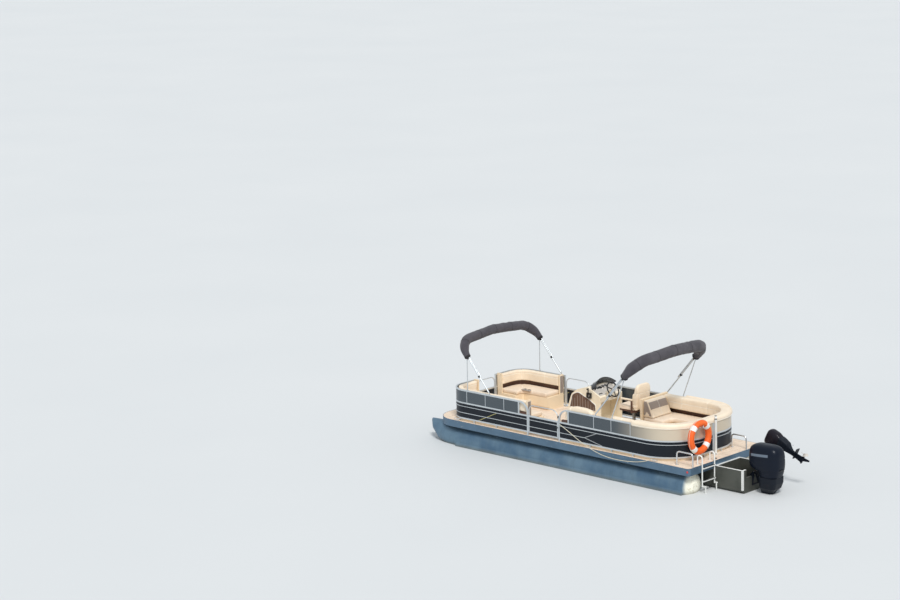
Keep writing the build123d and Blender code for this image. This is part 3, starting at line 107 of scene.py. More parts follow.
class Look:
    """One material. node() makes any node, and show() joins the results to the shader."""

    def __init__(self, name):
        self.material = bpy.data.materials.new(name)
        self.material.use_nodes = True
        self.tree = self.material.node_tree
        self.shader = self.tree.nodes["Principled BSDF"]
        self.place = self.node("ShaderNodeTexCoord", output="Object")
        self.x, self.y, self.z = (self.node("ShaderNodeSeparateXYZ", {}, (self.place,), axis) for axis in "XYZ")

    def node(self, kind, settings=None, inputs=(), output=0):
        made = self.tree.nodes.new(kind)
        for name, value in (settings or {}).items():
            setattr(made, name, value)
        rows = inputs.items() if isinstance(inputs, dict) else enumerate(inputs)
        for key, value in rows:
            self.put(made.inputs[key], value)
        return Value(self, made.outputs[output])

    def put(self, socket, value):
        if isinstance(value, Value):
            self.tree.links.new(value.socket, socket)
        elif socket.type == "RGBA" and len(value) == 3:
            socket.default_value = (*value, 1.0)
        else:
            socket.default_value = value

    def mix(self, share, first, second):
        """A colour between two others."""
        return self.node("ShaderNodeMix", {"data_type": "RGBA"}, {0: share, 6: first, 7: second}, 2)

    def grain(self, size, detail, stretch=(1.0, 1.0, 1.0)):
        """Noise with features of about the size given."""
        spot = self.node("ShaderNodeMapping", {}, {"Vector": self.place, "Scale": stretch})
        return self.node("ShaderNodeTexNoise", {}, {"Vector": spot, "Scale": 1.0 / size, "Detail": detail})

    def cells(self, size):
        """Distance to the nearest point of a scatter, as on leather."""
        return self.node("ShaderNodeTexVoronoi", {}, {"Vector": self.place, "Scale": 1.0 / size})

    def wave(self, pitch, along):
        """A sine along an axis value, 0 to 1."""
        return (along * (math.tau / pitch)).math("SINE") * 0.5 + 0.5

    def show(self, colour, roughness, metallic=0.0, bump=None, depth=0.001, **plain):
        self.put(self.shader.inputs["Base Color"], colour)
        self.put(self.shader.inputs["Roughness"], roughness)
        self.put(self.shader.inputs["Metallic"], metallic)
        if bump is not None:
            normal = self.node("ShaderNodeBump", {}, {"Height": bump, "Distance": depth}, "Normal")
            self.put(self.shader.inputs["Normal"], normal)
        for name, value in plain.items():
            self.shader.inputs[name.replace("_", " ")].default_value = value
        return self.material


def hull_metal():
    """Weathered aluminium plate, tinted blue by a painted sky reflection, chalky at the stern caps and stained
    at the waterline.
    """
    look = Look("weathered_aluminium")
    cloud = look.grain(0.5, 5.0)
    brush = look.grain(0.02, 3.0, (0.08, 1.0, 1.0))
    run = look.grain(0.06, 3.0, (1.0, 1.0, 0.12))
    # The blue of both tones is a painted sky reflection on grey metal.
    colour = look.mix(cloud.step(0.3, 0.7), shade(82, 112, 137), shade(110, 137, 156))
    colour = look.mix(run.step(0.5, 0.75) * 0.3, colour, shade(84, 104, 116))
    chalk = (1.0 - look.x.step(-3.56, -3.49)) * (look.y.math("ABSOLUTE")).step(0.5, 0.6)
    colour = look.mix(chalk * 0.94, colour, shade(250, 248, 230))
    rust = chalk * look.grain(0.05, 4.0).step(0.52, 0.68)
    colour = look.mix(rust * 0.4, colour, shade(170, 148, 104))
    scum = 1.0 - (look.z + cloud * 0.05).step(0.03, 0.12)
    colour = look.mix(scum * 0.55, colour, shade(104, 100, 78))
    seams = look.wave(1.83, look.x + 0.4).step(0.9996, 1.0)
    rough = 0.34 + 0.12 * cloud + 0.1 * brush + 0.25 * chalk + 0.2 * scum
    bare = 0.55 - 0.5 * chalk - 0.3 * scum
    return look.show(colour, rough, bare, brush * 0.15 + seams + cloud * 0.6, 0.0012)


def metal(name, colour, dull, metallic, brush=0.3, worn=None):
    """Drawn or cast metal with a faint grain."""
    look = Look(name)
    cloud = look.grain(0.3, 4.0)
    fine = look.grain(0.006, 2.0)
    worn = worn or tuple(v * 0.8 for v in colour)
    tone = look.mix(cloud.step(0.35, 0.75) * 0.7, colour, worn)
    return look.show(tone, dull + 0.1 * cloud + 0.06 * fine, metallic, fine * brush, 0.0004)


def deck_carpet():
    """Woven vinyl deck with plank lines."""
    look = Look("woven_deck_vinyl")
    thread = look.wave(0.006, look.x + look.y) * look.wave(0.006, look.x - look.y)
    line = 1.0 - look.wave(0.115, look.y).step(0.0008, 0.004)
    cloud = look.grain(0.25, 4.0)
    streak = look.grain(0.03, 3.0, (0.06, 1.0, 1.0))
    colour = look.mix(streak, shade(226, 204, 182), shade(246, 228, 208))
    colour = look.mix(cloud.step(0.45, 0.75) * 0.4, colour, shade(188, 168, 148))
    colour = look.mix(line * 0.8, colour, shade(140, 120, 102))
    return look.show(colour, 0.75 + 0.1 * cloud, 0.0, thread - line * 2.0, 0.0008, Specular_IOR_Level=0.3)


def stripe(look, from_x, from_z, to_x, to_z, width):
    """A straight painted line between two points of the side panels."""
    run_x, run_z = to_x - from_x, to_z - from_z
    length = math.hypot(run_x, run_z)
    along = ((look.x - from_x) * run_x + (look.z - from_z) * run_z) / length
    off = ((look.x - from_x) * run_z - (look.z - from_z) * run_x) / length
    inside = along.step(-0.002, 0.002) * (1.0 - along.step(length - 0.002, length + 0.002))
    return off.near(0.0, width) * inside


# Painted lines on the side panels: x and z of both ends, and the width
PANEL_LINES = (
    (1.76, 0.944, 2.31, 0.69, 0.007),
    (-0.80, 0.80, -1.15, 0.944, 0.008),
    (-0.80, 0.80, -1.30, 0.69, 0.009),
)


def black_panel():
    """Gloss black aluminium skin with thin painted lines."""
    look = Look("black_gloss_panel")
    cloud = look.grain(0.4, 3.0)
    dust = look.grain(0.02, 4.0)
    lines = None
    for row in PANEL_LINES:
        mark = stripe(look, *row)
        lines = mark if lines is None else lines.math("MAXIMUM", mark)
    side = (look.y.math("ABSOLUTE")).step(1.20, 1.21)
    lines = lines * side
    colour = look.mix(dust.step(0.55, 0.8) * 0.2, shade(14, 22, 32), shade(44, 52, 62))
    paint = look.mix(look.x.step(0.0, 0.1), shade(168, 172, 174), shade(184, 176, 118))
    colour = look.mix(lines, colour, paint)
    return look.show(colour, 0.34 + 0.12 * cloud + 0.1 * dust, 0.0, cloud, 0.002, Specular_IOR_Level=0.24,
                     Coat_Weight=0.08, Coat_Roughness=0.1)


def cream_panel():
    """Champagne metallic skin, sunlit round the stern, with painted shade and painted sky reflection making it
    dark pewter along the sides.
    """
    look = Look("champagne_metallic_panel")
    cloud = look.grain(0.5, 3.0)
    flake = look.cells(0.0012)
    # Painted light: the champagne is the panel's own colour in sun at the stern; the dark pewter along the
    # sides is painted shade and painted sky reflection on the same panel.
    sunlit_stern = 1.0 - (look.x + 0.1 * cloud).step(-2.9, -1.5)
    colour = look.mix(sunlit_stern, shade(44, 60, 72), shade(206, 192, 170))
    colour = look.mix(flake * 0.1, colour, shade(232, 226, 214))
    return look.show(colour, 0.32 + 0.08 * cloud, 0.25, cloud, 0.002, Coat_Weight=0.2, Coat_Roughness=0.1)


def moulded(name, colour, dark, rough=0.45, **plain):
    """Moulded plastic or gelcoat with a fine pebble and some dirt."""
    look = Look(name)
    pebble = look.cells(0.003)
    cloud = look.grain(0.35, 4.0)
    tone = look.mix(cloud.step(0.45, 0.8) * 0.5, colour, dark)
    return look.show(tone, rough + 0.12 * cloud, 0.0, pebble, 0.0003, **plain)


def vinyl(name, colour, dark):
    """Marine vinyl with a leather grain, soft soiling and a low sheen."""
    look = Look(name)
    pebble = look.cells(0.0035)
    crease = look.grain(0.03, 5.0)
    cloud = look.grain(0.3, 4.0)
    tone = look.mix(cloud.step(0.4, 0.8) * 0.6, colour, dark)
    tone = look.mix(crease.step(0.55, 0.8) * 0.25, tone, tuple(v * 0.7 for v in dark))
    return look.show(tone, 0.42 + 0.15 * cloud, 0.0, pebble * 0.5 + crease, 0.0014, Sheen_Weight=0.1)


def boot_fabric():
    """Acrylic canvas, darker and faded in random patches."""
    look = Look("charcoal_canvas")
    weave = look.wave(0.0022, look.y) * look.wave(0.0022, look.x + look.z)
    cloud = look.grain(0.2, 4.0)
    fade = look.grain(0.6, 3.0)
    colour = look.mix(cloud, shade(60, 58, 64), shade(82, 80, 86))
    colour = look.mix(fade.step(0.4, 0.8) * 0.35, colour, shade(112, 108, 112))
    return look.show(colour, 0.86, 0.0, weave + cloud * 3.0, 0.0008, Specular_IOR_Level=0.2, Sheen_Weight=0.2)


def smoked_screen():
    """Smoked acrylic sheet."""
    look = Look("smoked_acrylic")
    haze = look.grain(0.2, 3.0)
    look.put(look.shader.inputs["Alpha"], 0.72 + 0.1 * haze)
    colour = look.mix(haze, shade(16, 18, 22), shade(30, 32, 36))
    return look.show(colour, 0.05 + 0.08 * haze, 0.0, haze, 0.0005)


def motor_paint(name, colour, glint, rough, band=None):
    """Sprayed engine paint with fine flakes, and a pale band along both sides."""
    look = Look(name)
    flake = look.cells(0.0008)
    cloud = look.grain(0.2, 3.0)
    tone = look.mix(flake.step(0.2, 0.7) * 0.25, glint, colour)
    tone = look.mix(cloud.step(0.55, 0.85) * 0.3, tone, tuple(v * 1.4 + 0.004 for v in colour))
    if band:
        level, slope, half, front, rear = band
        height = look.z - level - (look.x - front) * slope
        side = (look.y.math("ABSOLUTE")).step(0.12, 0.16)
        mark = height.near(0.0, half) * look.x.step(rear, rear + 0.02)
        mark = mark * (1.0 - look.x.step(front - 0.02, front))
        tone = look.mix(mark * side * 0.9, tone, shade(112, 124, 138))
    return look.show(tone, rough + 0.1 * cloud, 0.1, cloud, 0.001, Specular_IOR_Level=0.16, Coat_Weight=0.06,
                     Coat_Roughness=0.14)


def rope_fibre():
    """Pale twisted line with fine fibres."""
    look = Look("pale_rope_fibre")
    fibre = look.grain(0.0015, 3.0, (0.2, 1.0, 1.0))
    cloud = look.grain(0.08, 3.0)
    colour = look.mix(cloud, shade(196, 188, 164), shade(226, 222, 206))
    return look.show(colour, 0.85, 0.0, fibre, 0.0008, Sheen_Weight=0.2)


def foam_ring():
    """Orange life ring shell, scuffed."""
    look = Look("orange_ring_shell")
    scuff = look.grain(0.04, 5.0)
    cloud = look.grain(0.2, 3.0)
    colour = look.mix(cloud, shade(232, 86, 20), shade(244, 112, 36))
    colour = look.mix(scuff.step(0.6, 0.8) * 0.35, colour, shade(250, 170, 110))
    return look.show(colour, 0.45 + 0.15 * cloud, 0.0, scuff, 0.001)


LOOKS = {
    "hull_metal": hull_metal(),
    "frame_metal": metal("mill_aluminium", shade(158, 163, 166), 0.42, 0.8),
    "trim_metal": metal("deck_edge_aluminium", shade(94, 120, 142), 0.36, 0.5),
    "rail_metal": metal("anodised_rail", shade(206, 212, 216), 0.3, 0.6),
    "stainless": metal("polished_stainless", shade(226, 228, 230), 0.18, 0.9, 0.1),
    "white_metal": metal("white_enamel", shade(232, 233, 230), 0.3, 0.0),
    "deck_carpet": deck_carpet(),
    "black_panel": black_panel(),
    "cream_panel": cream_panel(),
    "seat_shell": moulded("cream_rotomoulded_base", shade(238, 218, 188), shade(220, 198, 166)),
    "dark_shell": moulded("brown_moulded_strip", shade(92, 62, 50), shade(62, 42, 34)),
    "tan_vinyl": vinyl("tan_seat_vinyl", shade(235, 216, 194), shade(221, 200, 177)),
    "cream_vinyl": vinyl("cream_back_vinyl", shade(241, 224, 200), shade(228, 209, 184)),
    "white_vinyl": vinyl("white_piping_vinyl", shade(248, 244, 234), shade(232, 224, 208)),
    "taupe_vinyl": vinyl("taupe_insert_vinyl", shade(156, 142, 132), shade(130, 118, 110)),
    "brown_vinyl": vinyl("brown_insert_vinyl", shade(104, 78, 64), shade(76, 56, 46)),
    "cream_gel": moulded("cream_gelcoat", shade(244, 232, 208), shade(230, 214, 188), 0.28, Coat_Weight=0.3),
    "smoked_screen": smoked_screen(),
    "black_plastic": moulded("black_moulding", shade(24, 24, 26), shade(40, 40, 42), 0.4),
    "boot_fabric": boot_fabric(),
    "dark_fabric": moulded("dark_webbing", shade(34, 33, 36), shade(50, 48, 50), 0.8),
    "motor_black": motor_paint("motor_satin_black", shade(10, 13, 18), shade(24, 30, 40), 0.4),
    "motor_cowl": motor_paint("motor_navy_gloss", shade(7, 11, 18), shade(18, 26, 40), 0.28,
                              (0.83, -0.06, 0.034, -4.48, -4.94)),
    "aux_cowl": motor_paint("motor_black_gloss", shade(10, 13, 20), shade(34, 30, 38), 0.28),
    "ring_orange": foam_ring(),
    "rope_fibre": rope_fibre(),
    "white_plastic": moulded("white_moulding", shade(240, 240, 236), shade(216, 216, 210), 0.35),
    "silver_plastic": metal("brushed_dash_plate", shade(212, 206, 198), 0.34, 0.25),
    "dial_face": moulded("dial_face", shade(30, 32, 36), shade(70, 74, 80), 0.3, Coat_Weight=0.5),
    "pod_metal": metal("pod_plate", shade(86, 88, 82), 0.45, 0.3, 0.3, shade(58, 60, 54)),
    "red_plastic": moulded("red_lens", shade(206, 60, 58), shade(170, 36, 36), 0.25),
}

slots = {part["node"]: part["material_slot"] for part in frame["record"]["subparts"]}
# Nodes whose finish is their own, not that of their slot
OWN_LOOKS = {"engine_pod": "pod_metal", "aux_propeller": "silver_plastic", "ladder_upper": "white_metal",
             "ladder_lower": "white_metal"}
for name, node in nodes.items():
    for place in node.material_slots:
        place.material = LOOKS[OWN_LOOKS.get(name, slots[name])]


# Making meshes


def linked(name, data):
    """A new object in the scene."""
    made = bpy.data.objects.new(name, data)
    bpy.context.scene.collection.objects.link(made)
    return made


def piece(name, bm, body, slot, look=None, smooth=True, stands_for=()):
    """Turns a bmesh into a finished piece that rides on a body."""
    mesh = bpy.data.meshes.new(name)
    bm.to_mesh(mesh)
    bm.free()
    return settle(name, mesh, body, slot, look, smooth, stands_for)


def settle(name, mesh, body, slot, look, smooth, stands_for):
    """Gives a mesh its material, from its look or else its slot, and its body."""
    mesh.materials.clear()
    mesh.materials.append(LOOKS[look or slot])
    for face in mesh.polygons:
        face.use_smooth = smooth
        face.material_index = 0
    made = linked(name, mesh)
    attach(made, body)
    if stands_for:
        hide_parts(*stands_for)
    return made


def frozen(made):
    """The mesh of an object with its modifiers applied."""
    graph = bpy.context.evaluated_depsgraph_get()
    return bpy.data.meshes.new_from_object(made.evaluated_get(graph))


# Padded pieces

Pad = namedtuple("Pad", "made cap rest slot body seams fill")
PADS = []


def plan(points, rounds):
    """A level face from plan points whose corners are rounded by the radii given."""
    bm = bmesh.new()
    face = bm.faces.new([bm.verts.new((x, y, 0.0)) for x, y in points])
    for vert, radius in zip(list(face.verts), rounds):
        if radius:
            bmesh.ops.bevel(bm, geom=[vert], offset=radius, segments=8, profile=0.5, affect="VERTICES",
                            material=-1)
    return bm


def raised(points, rounds, low, high, bm=None):
    """An upright block on a rounded plan, alone or added to another mesh."""
    made = plan(points, rounds)
    bmesh.ops.translate(made, verts=made.verts, vec=(0.0, 0.0, low))
    grown = bmesh.ops.extrude_face_region(made, geom=made.faces[:])
    top = [v for v in grown["geom"] if isinstance(v, bmesh.types.BMVert)]
    bmesh.ops.translate(made, verts=top, vec=(0.0, 0.0, high - low))
    bmesh.ops.recalc_face_normals(made, faces=made.faces)
    return made if bm is None else join(bm, made)


def join(bm, other):
    """Adds one bmesh to another and gives the first back."""
    scrap = bpy.data.meshes.new("scrap")
    other.to_mesh(scrap)
    other.free()
    bm.from_mesh(scrap)
    bpy.data.meshes.remove(scrap)
    return bm


def box(low, high, bm=None):
    """A plain block between two corners, to be shaped further."""
    made = bmesh.new()
    bmesh.ops.create_cube(made, size=1.0)
    size = [b - a for a, b in zip(low, high)]
    middle = [(a + b) / 2 for a, b in zip(low, high)]
    bmesh.ops.scale(made, verts=made.verts, vec=size)
    bmesh.ops.translate(made, verts=made.verts, vec=middle)
    return made if bm is None else join(bm, made)


def upright(points, y0, y1, bm=None):
    """A block with a side outline of (x, z) points, between two y values."""
    made = bmesh.new()
    face = made.faces.new([made.verts.new((x, y0, z)) for x, z in points])
    grown = bmesh.ops.extrude_face_region(made, geom=[face])
    far = [v for v in grown["geom"] if isinstance(v, bmesh.types.BMVert)]
    bmesh.ops.translate(made, verts=far, vec=(0.0, y1 - y0, 0.0))
    bmesh.ops.recalc_face_normals(made, faces=made.faces)
    return made if bm is None else join(bm, made)


def rounded(bm, size, segments=3):
    """Rounds all sharp edges."""
    sharp = [e for e in bm.edges if len(e.link_faces) == 2 and e.calc_face_angle() > 0.5]
    bmesh.ops.bevel(bm, geom=sharp, offset=size, segments=segments, profile=0.5, affect="EDGES",
                    clamp_overlap=True, material=-1)
    return bm


def softened(bm, verts, times):
    """Smooths some vertices a few times over."""
    for _ in range(times):
        bmesh.ops.smooth_vert(bm, verts=verts, factor=0.5, use_axis_x=True, use_axis_y=True, use_axis_z=True)


def stuff(name, bm, slot, stands_for=(), body="hull", look=None, *, voxel, cap, smooth=8, seams=(), fill=0.6):
    """Remeshes and softens a shape, ready to be blown up and sewn."""
    mesh = bpy.data.meshes.new(name)
    bm.to_mesh(mesh)
    bm.free()
    raw = linked(name, mesh)
    net = raw.modifiers.new("net", "REMESH")
    net.mode = "VOXEL"
    net.voxel_size = voxel
    net.adaptivity = 0.0
    even = frozen(raw)
    bpy.data.objects.remove(raw)
    soft = bmesh.new()
    soft.from_mesh(even)
    softened(soft, soft.verts, smooth)
    soft.to_mesh(even)
    soft.free()
    made = settle(name, even, body, slot, look, True, stands_for)
    PADS.append(Pad(made, cap, None, slot, body, seams, fill))


def blow_up():
    """Presses all the pads out a little with cloth, held where they rest."""
    starts = {}
    for pad in PADS:
        made = pad.made
        starts[made.name] = [v.co.copy() for v in made.data.vertices]
        held = made.vertex_groups.new(name="held")
        low = min(v.co.z for v in made.data.vertices) + 0.006
        rest = pad.rest or [v.index for v in made.data.vertices if v.co.z < low]
        held.add(list(rest), 1.0, "REPLACE")
        cloth = made.modifiers.new("cloth", "CLOTH")
        cloth.settings.quality = 4
        cloth.settings.mass = 0.35
        cloth.settings.use_pressure = True
        cloth.settings.uniform_pressure_force = 4.0
        cloth.settings.tension_stiffness = 12.0
        cloth.settings.compression_stiffness = 12.0
        cloth.settings.bending_stiffness = 0.6
        cloth.settings.effector_weights.gravity = 0.0
        cloth.settings.vertex_group_mass = "held"
        cloth.collision_settings.use_collision = False
        cloth.collision_settings.use_self_collision = False
        cloth.point_cache.frame_start = 1
        cloth.point_cache.frame_end = 20
    for frame_number in range(1, 21):
        bpy.context.scene.frame_set(frame_number)
    for pad in PADS:
        made = pad.made
        shaped = frozen(made)
        places = [v.co.copy() for v in shaped.vertices]
        bpy.data.meshes.remove(shaped)
        made.modifiers.clear()
        made.vertex_groups.clear()
        for vert, place, start in zip(made.data.vertices, places, starts[made.name]):
            move = place - start
            if move.length > pad.cap:
                move *= pad.cap / move.length
            vert.co = start + move
    bpy.context.scene.frame_set(1)


# A seam: a plane through the pad, the half width and depth of its groove, and a test of where it runs
Seam = namedtuple("Seam", "point normal width depth where")


def sew(made, seams):
    """Cuts each seam's groove and returns the loops at their bottoms, for the piping."""
    loops = []
    bm = bmesh.new()
    bm.from_mesh(made.data)
    for seam in seams:
        normal = Vector(seam.normal).normalized()
        point = Vector(seam.point)
        for offset in (-seam.width, 0.0, seam.width):
            near = [f for f in bm.faces if seam.where(f.calc_center_median())]
            edges = {e for f in near for e in f.edges}
            verts = {v for f in near for v in f.verts}
            bmesh.ops.bisect_plane(bm, geom=near + list(edges) + list(verts), dist=1e-5,
                                   plane_co=point + normal * offset, plane_no=normal)
        bm.normal_update()
        moves = []
        middle = []
        for vert in bm.verts:
            off = abs((vert.co - point).dot(normal))
            if off < seam.width * 0.98 and seam.where(vert.co):
                moves.append((vert, vert.normal * seam.depth * (1.0 - (off / seam.width) ** 2)))
            if off < 1e-4 and seam.where(vert.co):
                middle.append(vert)
        for vert, move in moves:
            vert.co -= move
        inside = set(middle)
        edges = [(e.verts[0].co.copy(), e.verts[1].co.copy()) for e in bm.edges
                 if e.verts[0] in inside and e.verts[1] in inside]
        loops.append(edges)
    bm.to_mesh(made.data)
    bm.free()
    for face in made.data.polygons:
        face.use_smooth = True
    return loops


def chain(edges):
    """Orders loose edges into lines of points."""
    def key(point):
        return tuple(round(v, 5) for v in point)

    at = {}
    for a, b in edges:
        at.setdefault(key(a), []).append((a, b))
        at.setdefault(key(b), []).append((b, a))
    used = set()
    lines = []
    for start in sorted(at, key=lambda k: (len(at[k]) != 1, k)):
        if start in used:
            continue
        line = []
        here = start
        while here is not None and here not in used:
            used.add(here)
            line.append(at[here][0][0])
            here = next((key(b) for _, b in at[here] if key(b) not in used), None)
        if len(line) > 3:
            closed = any(key(b) == start for _, b in at[key(line[-1])]) and len(line) > 5
            lines.append((line, closed))
    return lines


def tubes(name, lines, radius, body, slot, look, resolution=2, stands_for=()):
    """Round bars along lines of points, as one mesh."""
    curve = bpy.data.curves.new(name, "CURVE")
    curve.dimensions = "3D"
    curve.bevel_depth = radius
    curve.bevel_resolution = resolution
    curve.use_fill_caps = True
    for line, closed in lines:
        spline = curve.splines.new("POLY")
        spline.points.add(len(line) - 1)
        for spot, point in zip(spline.points, line):
            spot.co = (*point, 1.0)
        spline.use_cyclic_u = closed
    raw = linked(name, curve)
    mesh = frozen(raw)
    bpy.data.objects.remove(raw)
    bpy.data.curves.remove(curve)
    return settle(name, mesh, body, slot, look, True, stands_for)


def welt(pad):
    """Cuts a pad's seams and lays piping in them."""
    lines = [line for edges in sew(pad.made, pad.seams) for line in chain(edges)]
    if lines:
        tubes(pad.made.name + "_piping", lines, 0.0042, pad.body, pad.slot, "white_vinyl")


def finish_pads():
    blow_up()
    for pad in PADS:
        if pad.seams:
            welt(pad)


def across_x(x, side):
    """A seam across a side cushion, at an x."""
    return Seam((x, 0.0, 0.0), (1.0, 0.0, 0.0), 0.012, 0.009,
                lambda p: side * p.y > 0.45 and abs(p.x - x) < 0.1)


def across_corner(x, y, angle):
    """A seam through a rounded corner, from its centre outwards."""
    out = Vector((math.cos(math.radians(angle)), math.sin(math.radians(angle)), 0.0))
    return Seam((x, y, 0.0), (-out.y, out.x, 0.0), 0.012, 0.009,
                lambda p: Vector((p.x - x, p.y - y, 0.0)).dot(out) > 0.0)


def fore_and_aft(y, width=0.012, depth=0.009, where=lambda p: True):
    """A seam that runs lengthwise, at a y."""
    return Seam((0.0, y, 0.0), (0.0, 1.0, 0.0), width, depth, where)


def at_stern(aft):
    """A lengthwise seam in the middle, aft of an x."""
    return fore_and_aft(0.0, where=lambda p: p.x < aft and abs(p.y) < 0.1)


def level_seam(z, width=0.012, depth=0.006, where=lambda p: True):
    """A seam round a backrest at one height."""
    return Seam((0.0, 0.0, z), (0.0, 0.0, 1.0), width, depth, where)


# Room left round a pad before it swells, how far seat and back lie inside the fence, and the gate's edge
SLACK = 0.01
SEAT_RIM, SEAT_FRONT = -0.0743 - SLACK, -0.604 + SLACK
BACK_RIM = -0.026 - SLACK
BOW_SEAT_END = 0.412 + SLACK
# Middle of the part of the stern lounge that faces aft
ATHWART_Y = -0.66


def bow_cushions():
    """Seats and backrests of the two bow lounges."""
    for side, name, start, splits in ((1, "port", 0.902, (1.62, 2.36)), (-1, "starboard", 1.932, (2.36,))):
        def corner(outer, inner):
            near, far = FENCE_Y + inner, FENCE_Y + outer
            return [(start + SLACK, side * far), (FENCE_BOW + outer, side * far),
                    (FENCE_BOW + outer, side * BOW_SEAT_END), (FENCE_BOW + inner, side * BOW_SEAT_END),
                    (FENCE_BOW + inner, side * near), (start + SLACK, side * near)]

        turn = 45.0 * side
        across = [across_x(x, side) for x in splits]
        bm = raised(corner(SEAT_RIM, SEAT_FRONT), (0, 0.35, 0, 0, 0.08, 0), BASE_TOP + 0.001, SEAT_TOP - 0.006)
        stuff("bow_seat_" + name, bm, "tan_vinyl", ["bow_seats"], voxel=0.016, cap=0.010,
              seams=across + [across_corner(2.63, side * 0.624, turn)])
        bm = raised(corner(BACK_RIM, -0.161 + SLACK), (0, 0.394, 0, 0, 0.27, 0), BACK_FOOT + 0.006, 1.342)
        stuff("bow_back_" + name, bm, "cream_vinyl", ["bow_backs"], voxel=0.014, cap=0.010,
              seams=across + [across_corner(BOW_CORNER[0], side * BOW_CORNER[1], turn), level_seam(1.27)])


def stern_cushions():
    """The stern lounge: one long seat, its backrest, and the backrest athwart."""
    round_corners = [across_corner(STERN_CORNER[0], STERN_CORNER[1], 135.0),
                     across_corner(STERN_CORNER[0], -STERN_CORNER[1], 225.0)]
    middle_split = fore_and_aft(ATHWART_Y, where=lambda p: p.x > -1.8 and p.y < -0.5)
    out_y, in_y = FENCE_Y + SEAT_RIM, FENCE_Y + SEAT_FRONT
    out_x, in_x = FENCE_STERN - SEAT_RIM, FENCE_STERN - SEAT_FRONT
    points = [(-0.13, out_y), (out_x, out_y), (out_x, -out_y), (-1.17, -out_y), (-1.17, -0.31),
              (-1.73, -0.31), (-1.73, -in_y), (in_x, -in_y), (in_x, in_y), (-0.13, in_y)]
    bm = raised(points, (0, 0.815, 0.815, 0, 0.03, 0.03, 0.05, 0.3, 0.3, 0), BASE_TOP + 0.001, SEAT_TOP - 0.006)
    seams = [across_x(x, 1) for x in (-0.92, -1.66, -2.3)]
    seams += [across_x(-2.3, -1), *round_corners, at_stern(-2.5), middle_split]
    stuff("stern_seat", bm, "tan_vinyl", ["stern_seats"], seams=seams, voxel=0.016, cap=0.010)

    inner = -0.226 + SLACK
    out_y, in_y = FENCE_Y + BACK_RIM, FENCE_Y + inner
    out_x, in_x = FENCE_STERN - BACK_RIM, FENCE_STERN - inner
    points = [(-2.11, out_y), (out_x, out_y), (out_x, -out_y), (-1.17, -out_y), (-1.17, -in_y), (in_x, -in_y),
              (in_x, in_y), (-2.11, in_y)]
    bm = raised(points, (0, 0.86, 0.86, 0, 0, 0.67, 0.67, 0), BACK_FOOT + 0.006, 1.385)
    lip_y, lip_x = FENCE_Y + 0.02, FENCE_STERN - 0.02
    points = [(-2.11, lip_y), (lip_x, lip_y), (lip_x, -lip_y), (-1.66, -lip_y), (-1.66, -in_y), (in_x, -in_y),
              (in_x, in_y), (-2.11, in_y)]
    raised(points, (0, 0.91, 0.91, 0, 0, 0.67, 0.67, 0), 1.34, 1.385, bm)
    seams = [across_x(-2.4, 1), across_x(-2.4, -1), across_x(-1.7, -1), *round_corners, at_stern(-2.9)]
    seams.append(level_seam(1.25, where=lambda p: abs(p.y) < in_y + 0.05 and p.x > in_x - 0.05 or p.x > -2.3))
    stuff("stern_back_round", bm, "cream_vinyl", ["stern_back"], seams=seams, voxel=0.016, cap=0.009,
          smooth=10)

    bm = upright(((-1.168, SEAT_TOP + 0.008), (-1.168, 1.382), (-1.27, 1.382), (-1.45, SEAT_TOP + 0.008)),
                 -0.995, -0.328)
    seams = [fore_and_aft(ATHWART_Y, where=lambda p: p.z < 1.31), level_seam(1.31)]
    stuff("stern_back_athwart", bm, "cream_vinyl", ["stern_back"], seams=seams, voxel=0.012, cap=0.009)
    bm = upright(((-1.286, 1.335), (-1.296, 1.347), (-1.373, 1.19), (-1.363, 1.178)), -0.965, -0.35)
    end = upright(((-1.19, 1.05), (-1.19, 1.355), (-1.258, 1.355), (-1.395, 1.05)), -0.338, -0.3225)
    piece("stern_back_end", rounded(end, 0.002), "hull", "cream_vinyl", "taupe_vinyl")
    stuff("stern_back_insert", bm, "cream_vinyl", look="taupe_vinyl", voxel=0.008, cap=0.004, smooth=4,
          seams=[fore_and_aft(ATHWART_Y, 0.008, 0.004)])


def side_cushions():
    """The short backrest by the port gate and the padded roll on the port rail."""
    arch = [(-0.99, BACK_FOOT + 0.006), (-0.99, 1.34), (-0.9, 1.41), (-0.74, 1.434), (-0.5, 1.434),
            (-0.33, 1.40), (-0.22, 1.32), (-0.208, BACK_FOOT + 0.006)]
    bm = upright(arch, 1.077, 1.192)
    stuff("port_backrest", bm, "cream_vinyl", ["port_back"], seams=[across_x(-0.38, 1), level_seam(1.27)],
          voxel=0.012, cap=0.009)
    bm = box((-2.08, 1.062, 1.238), (-1.51, 1.192, 1.367))
    stuff("port_arm_roll", bm, "cream_vinyl", ["port_roll"], seams=[across_x(-1.8, 1)], voxel=0.01, cap=0.008,
          smooth=12)
    bm = box((-2.03, 1.172, BACK_FOOT), (-1.57, 1.202, 1.26))
    piece("port_roll_bracket", rounded(bm, 0.004), "hull", "seat_shell", stands_for=["port_roll"])


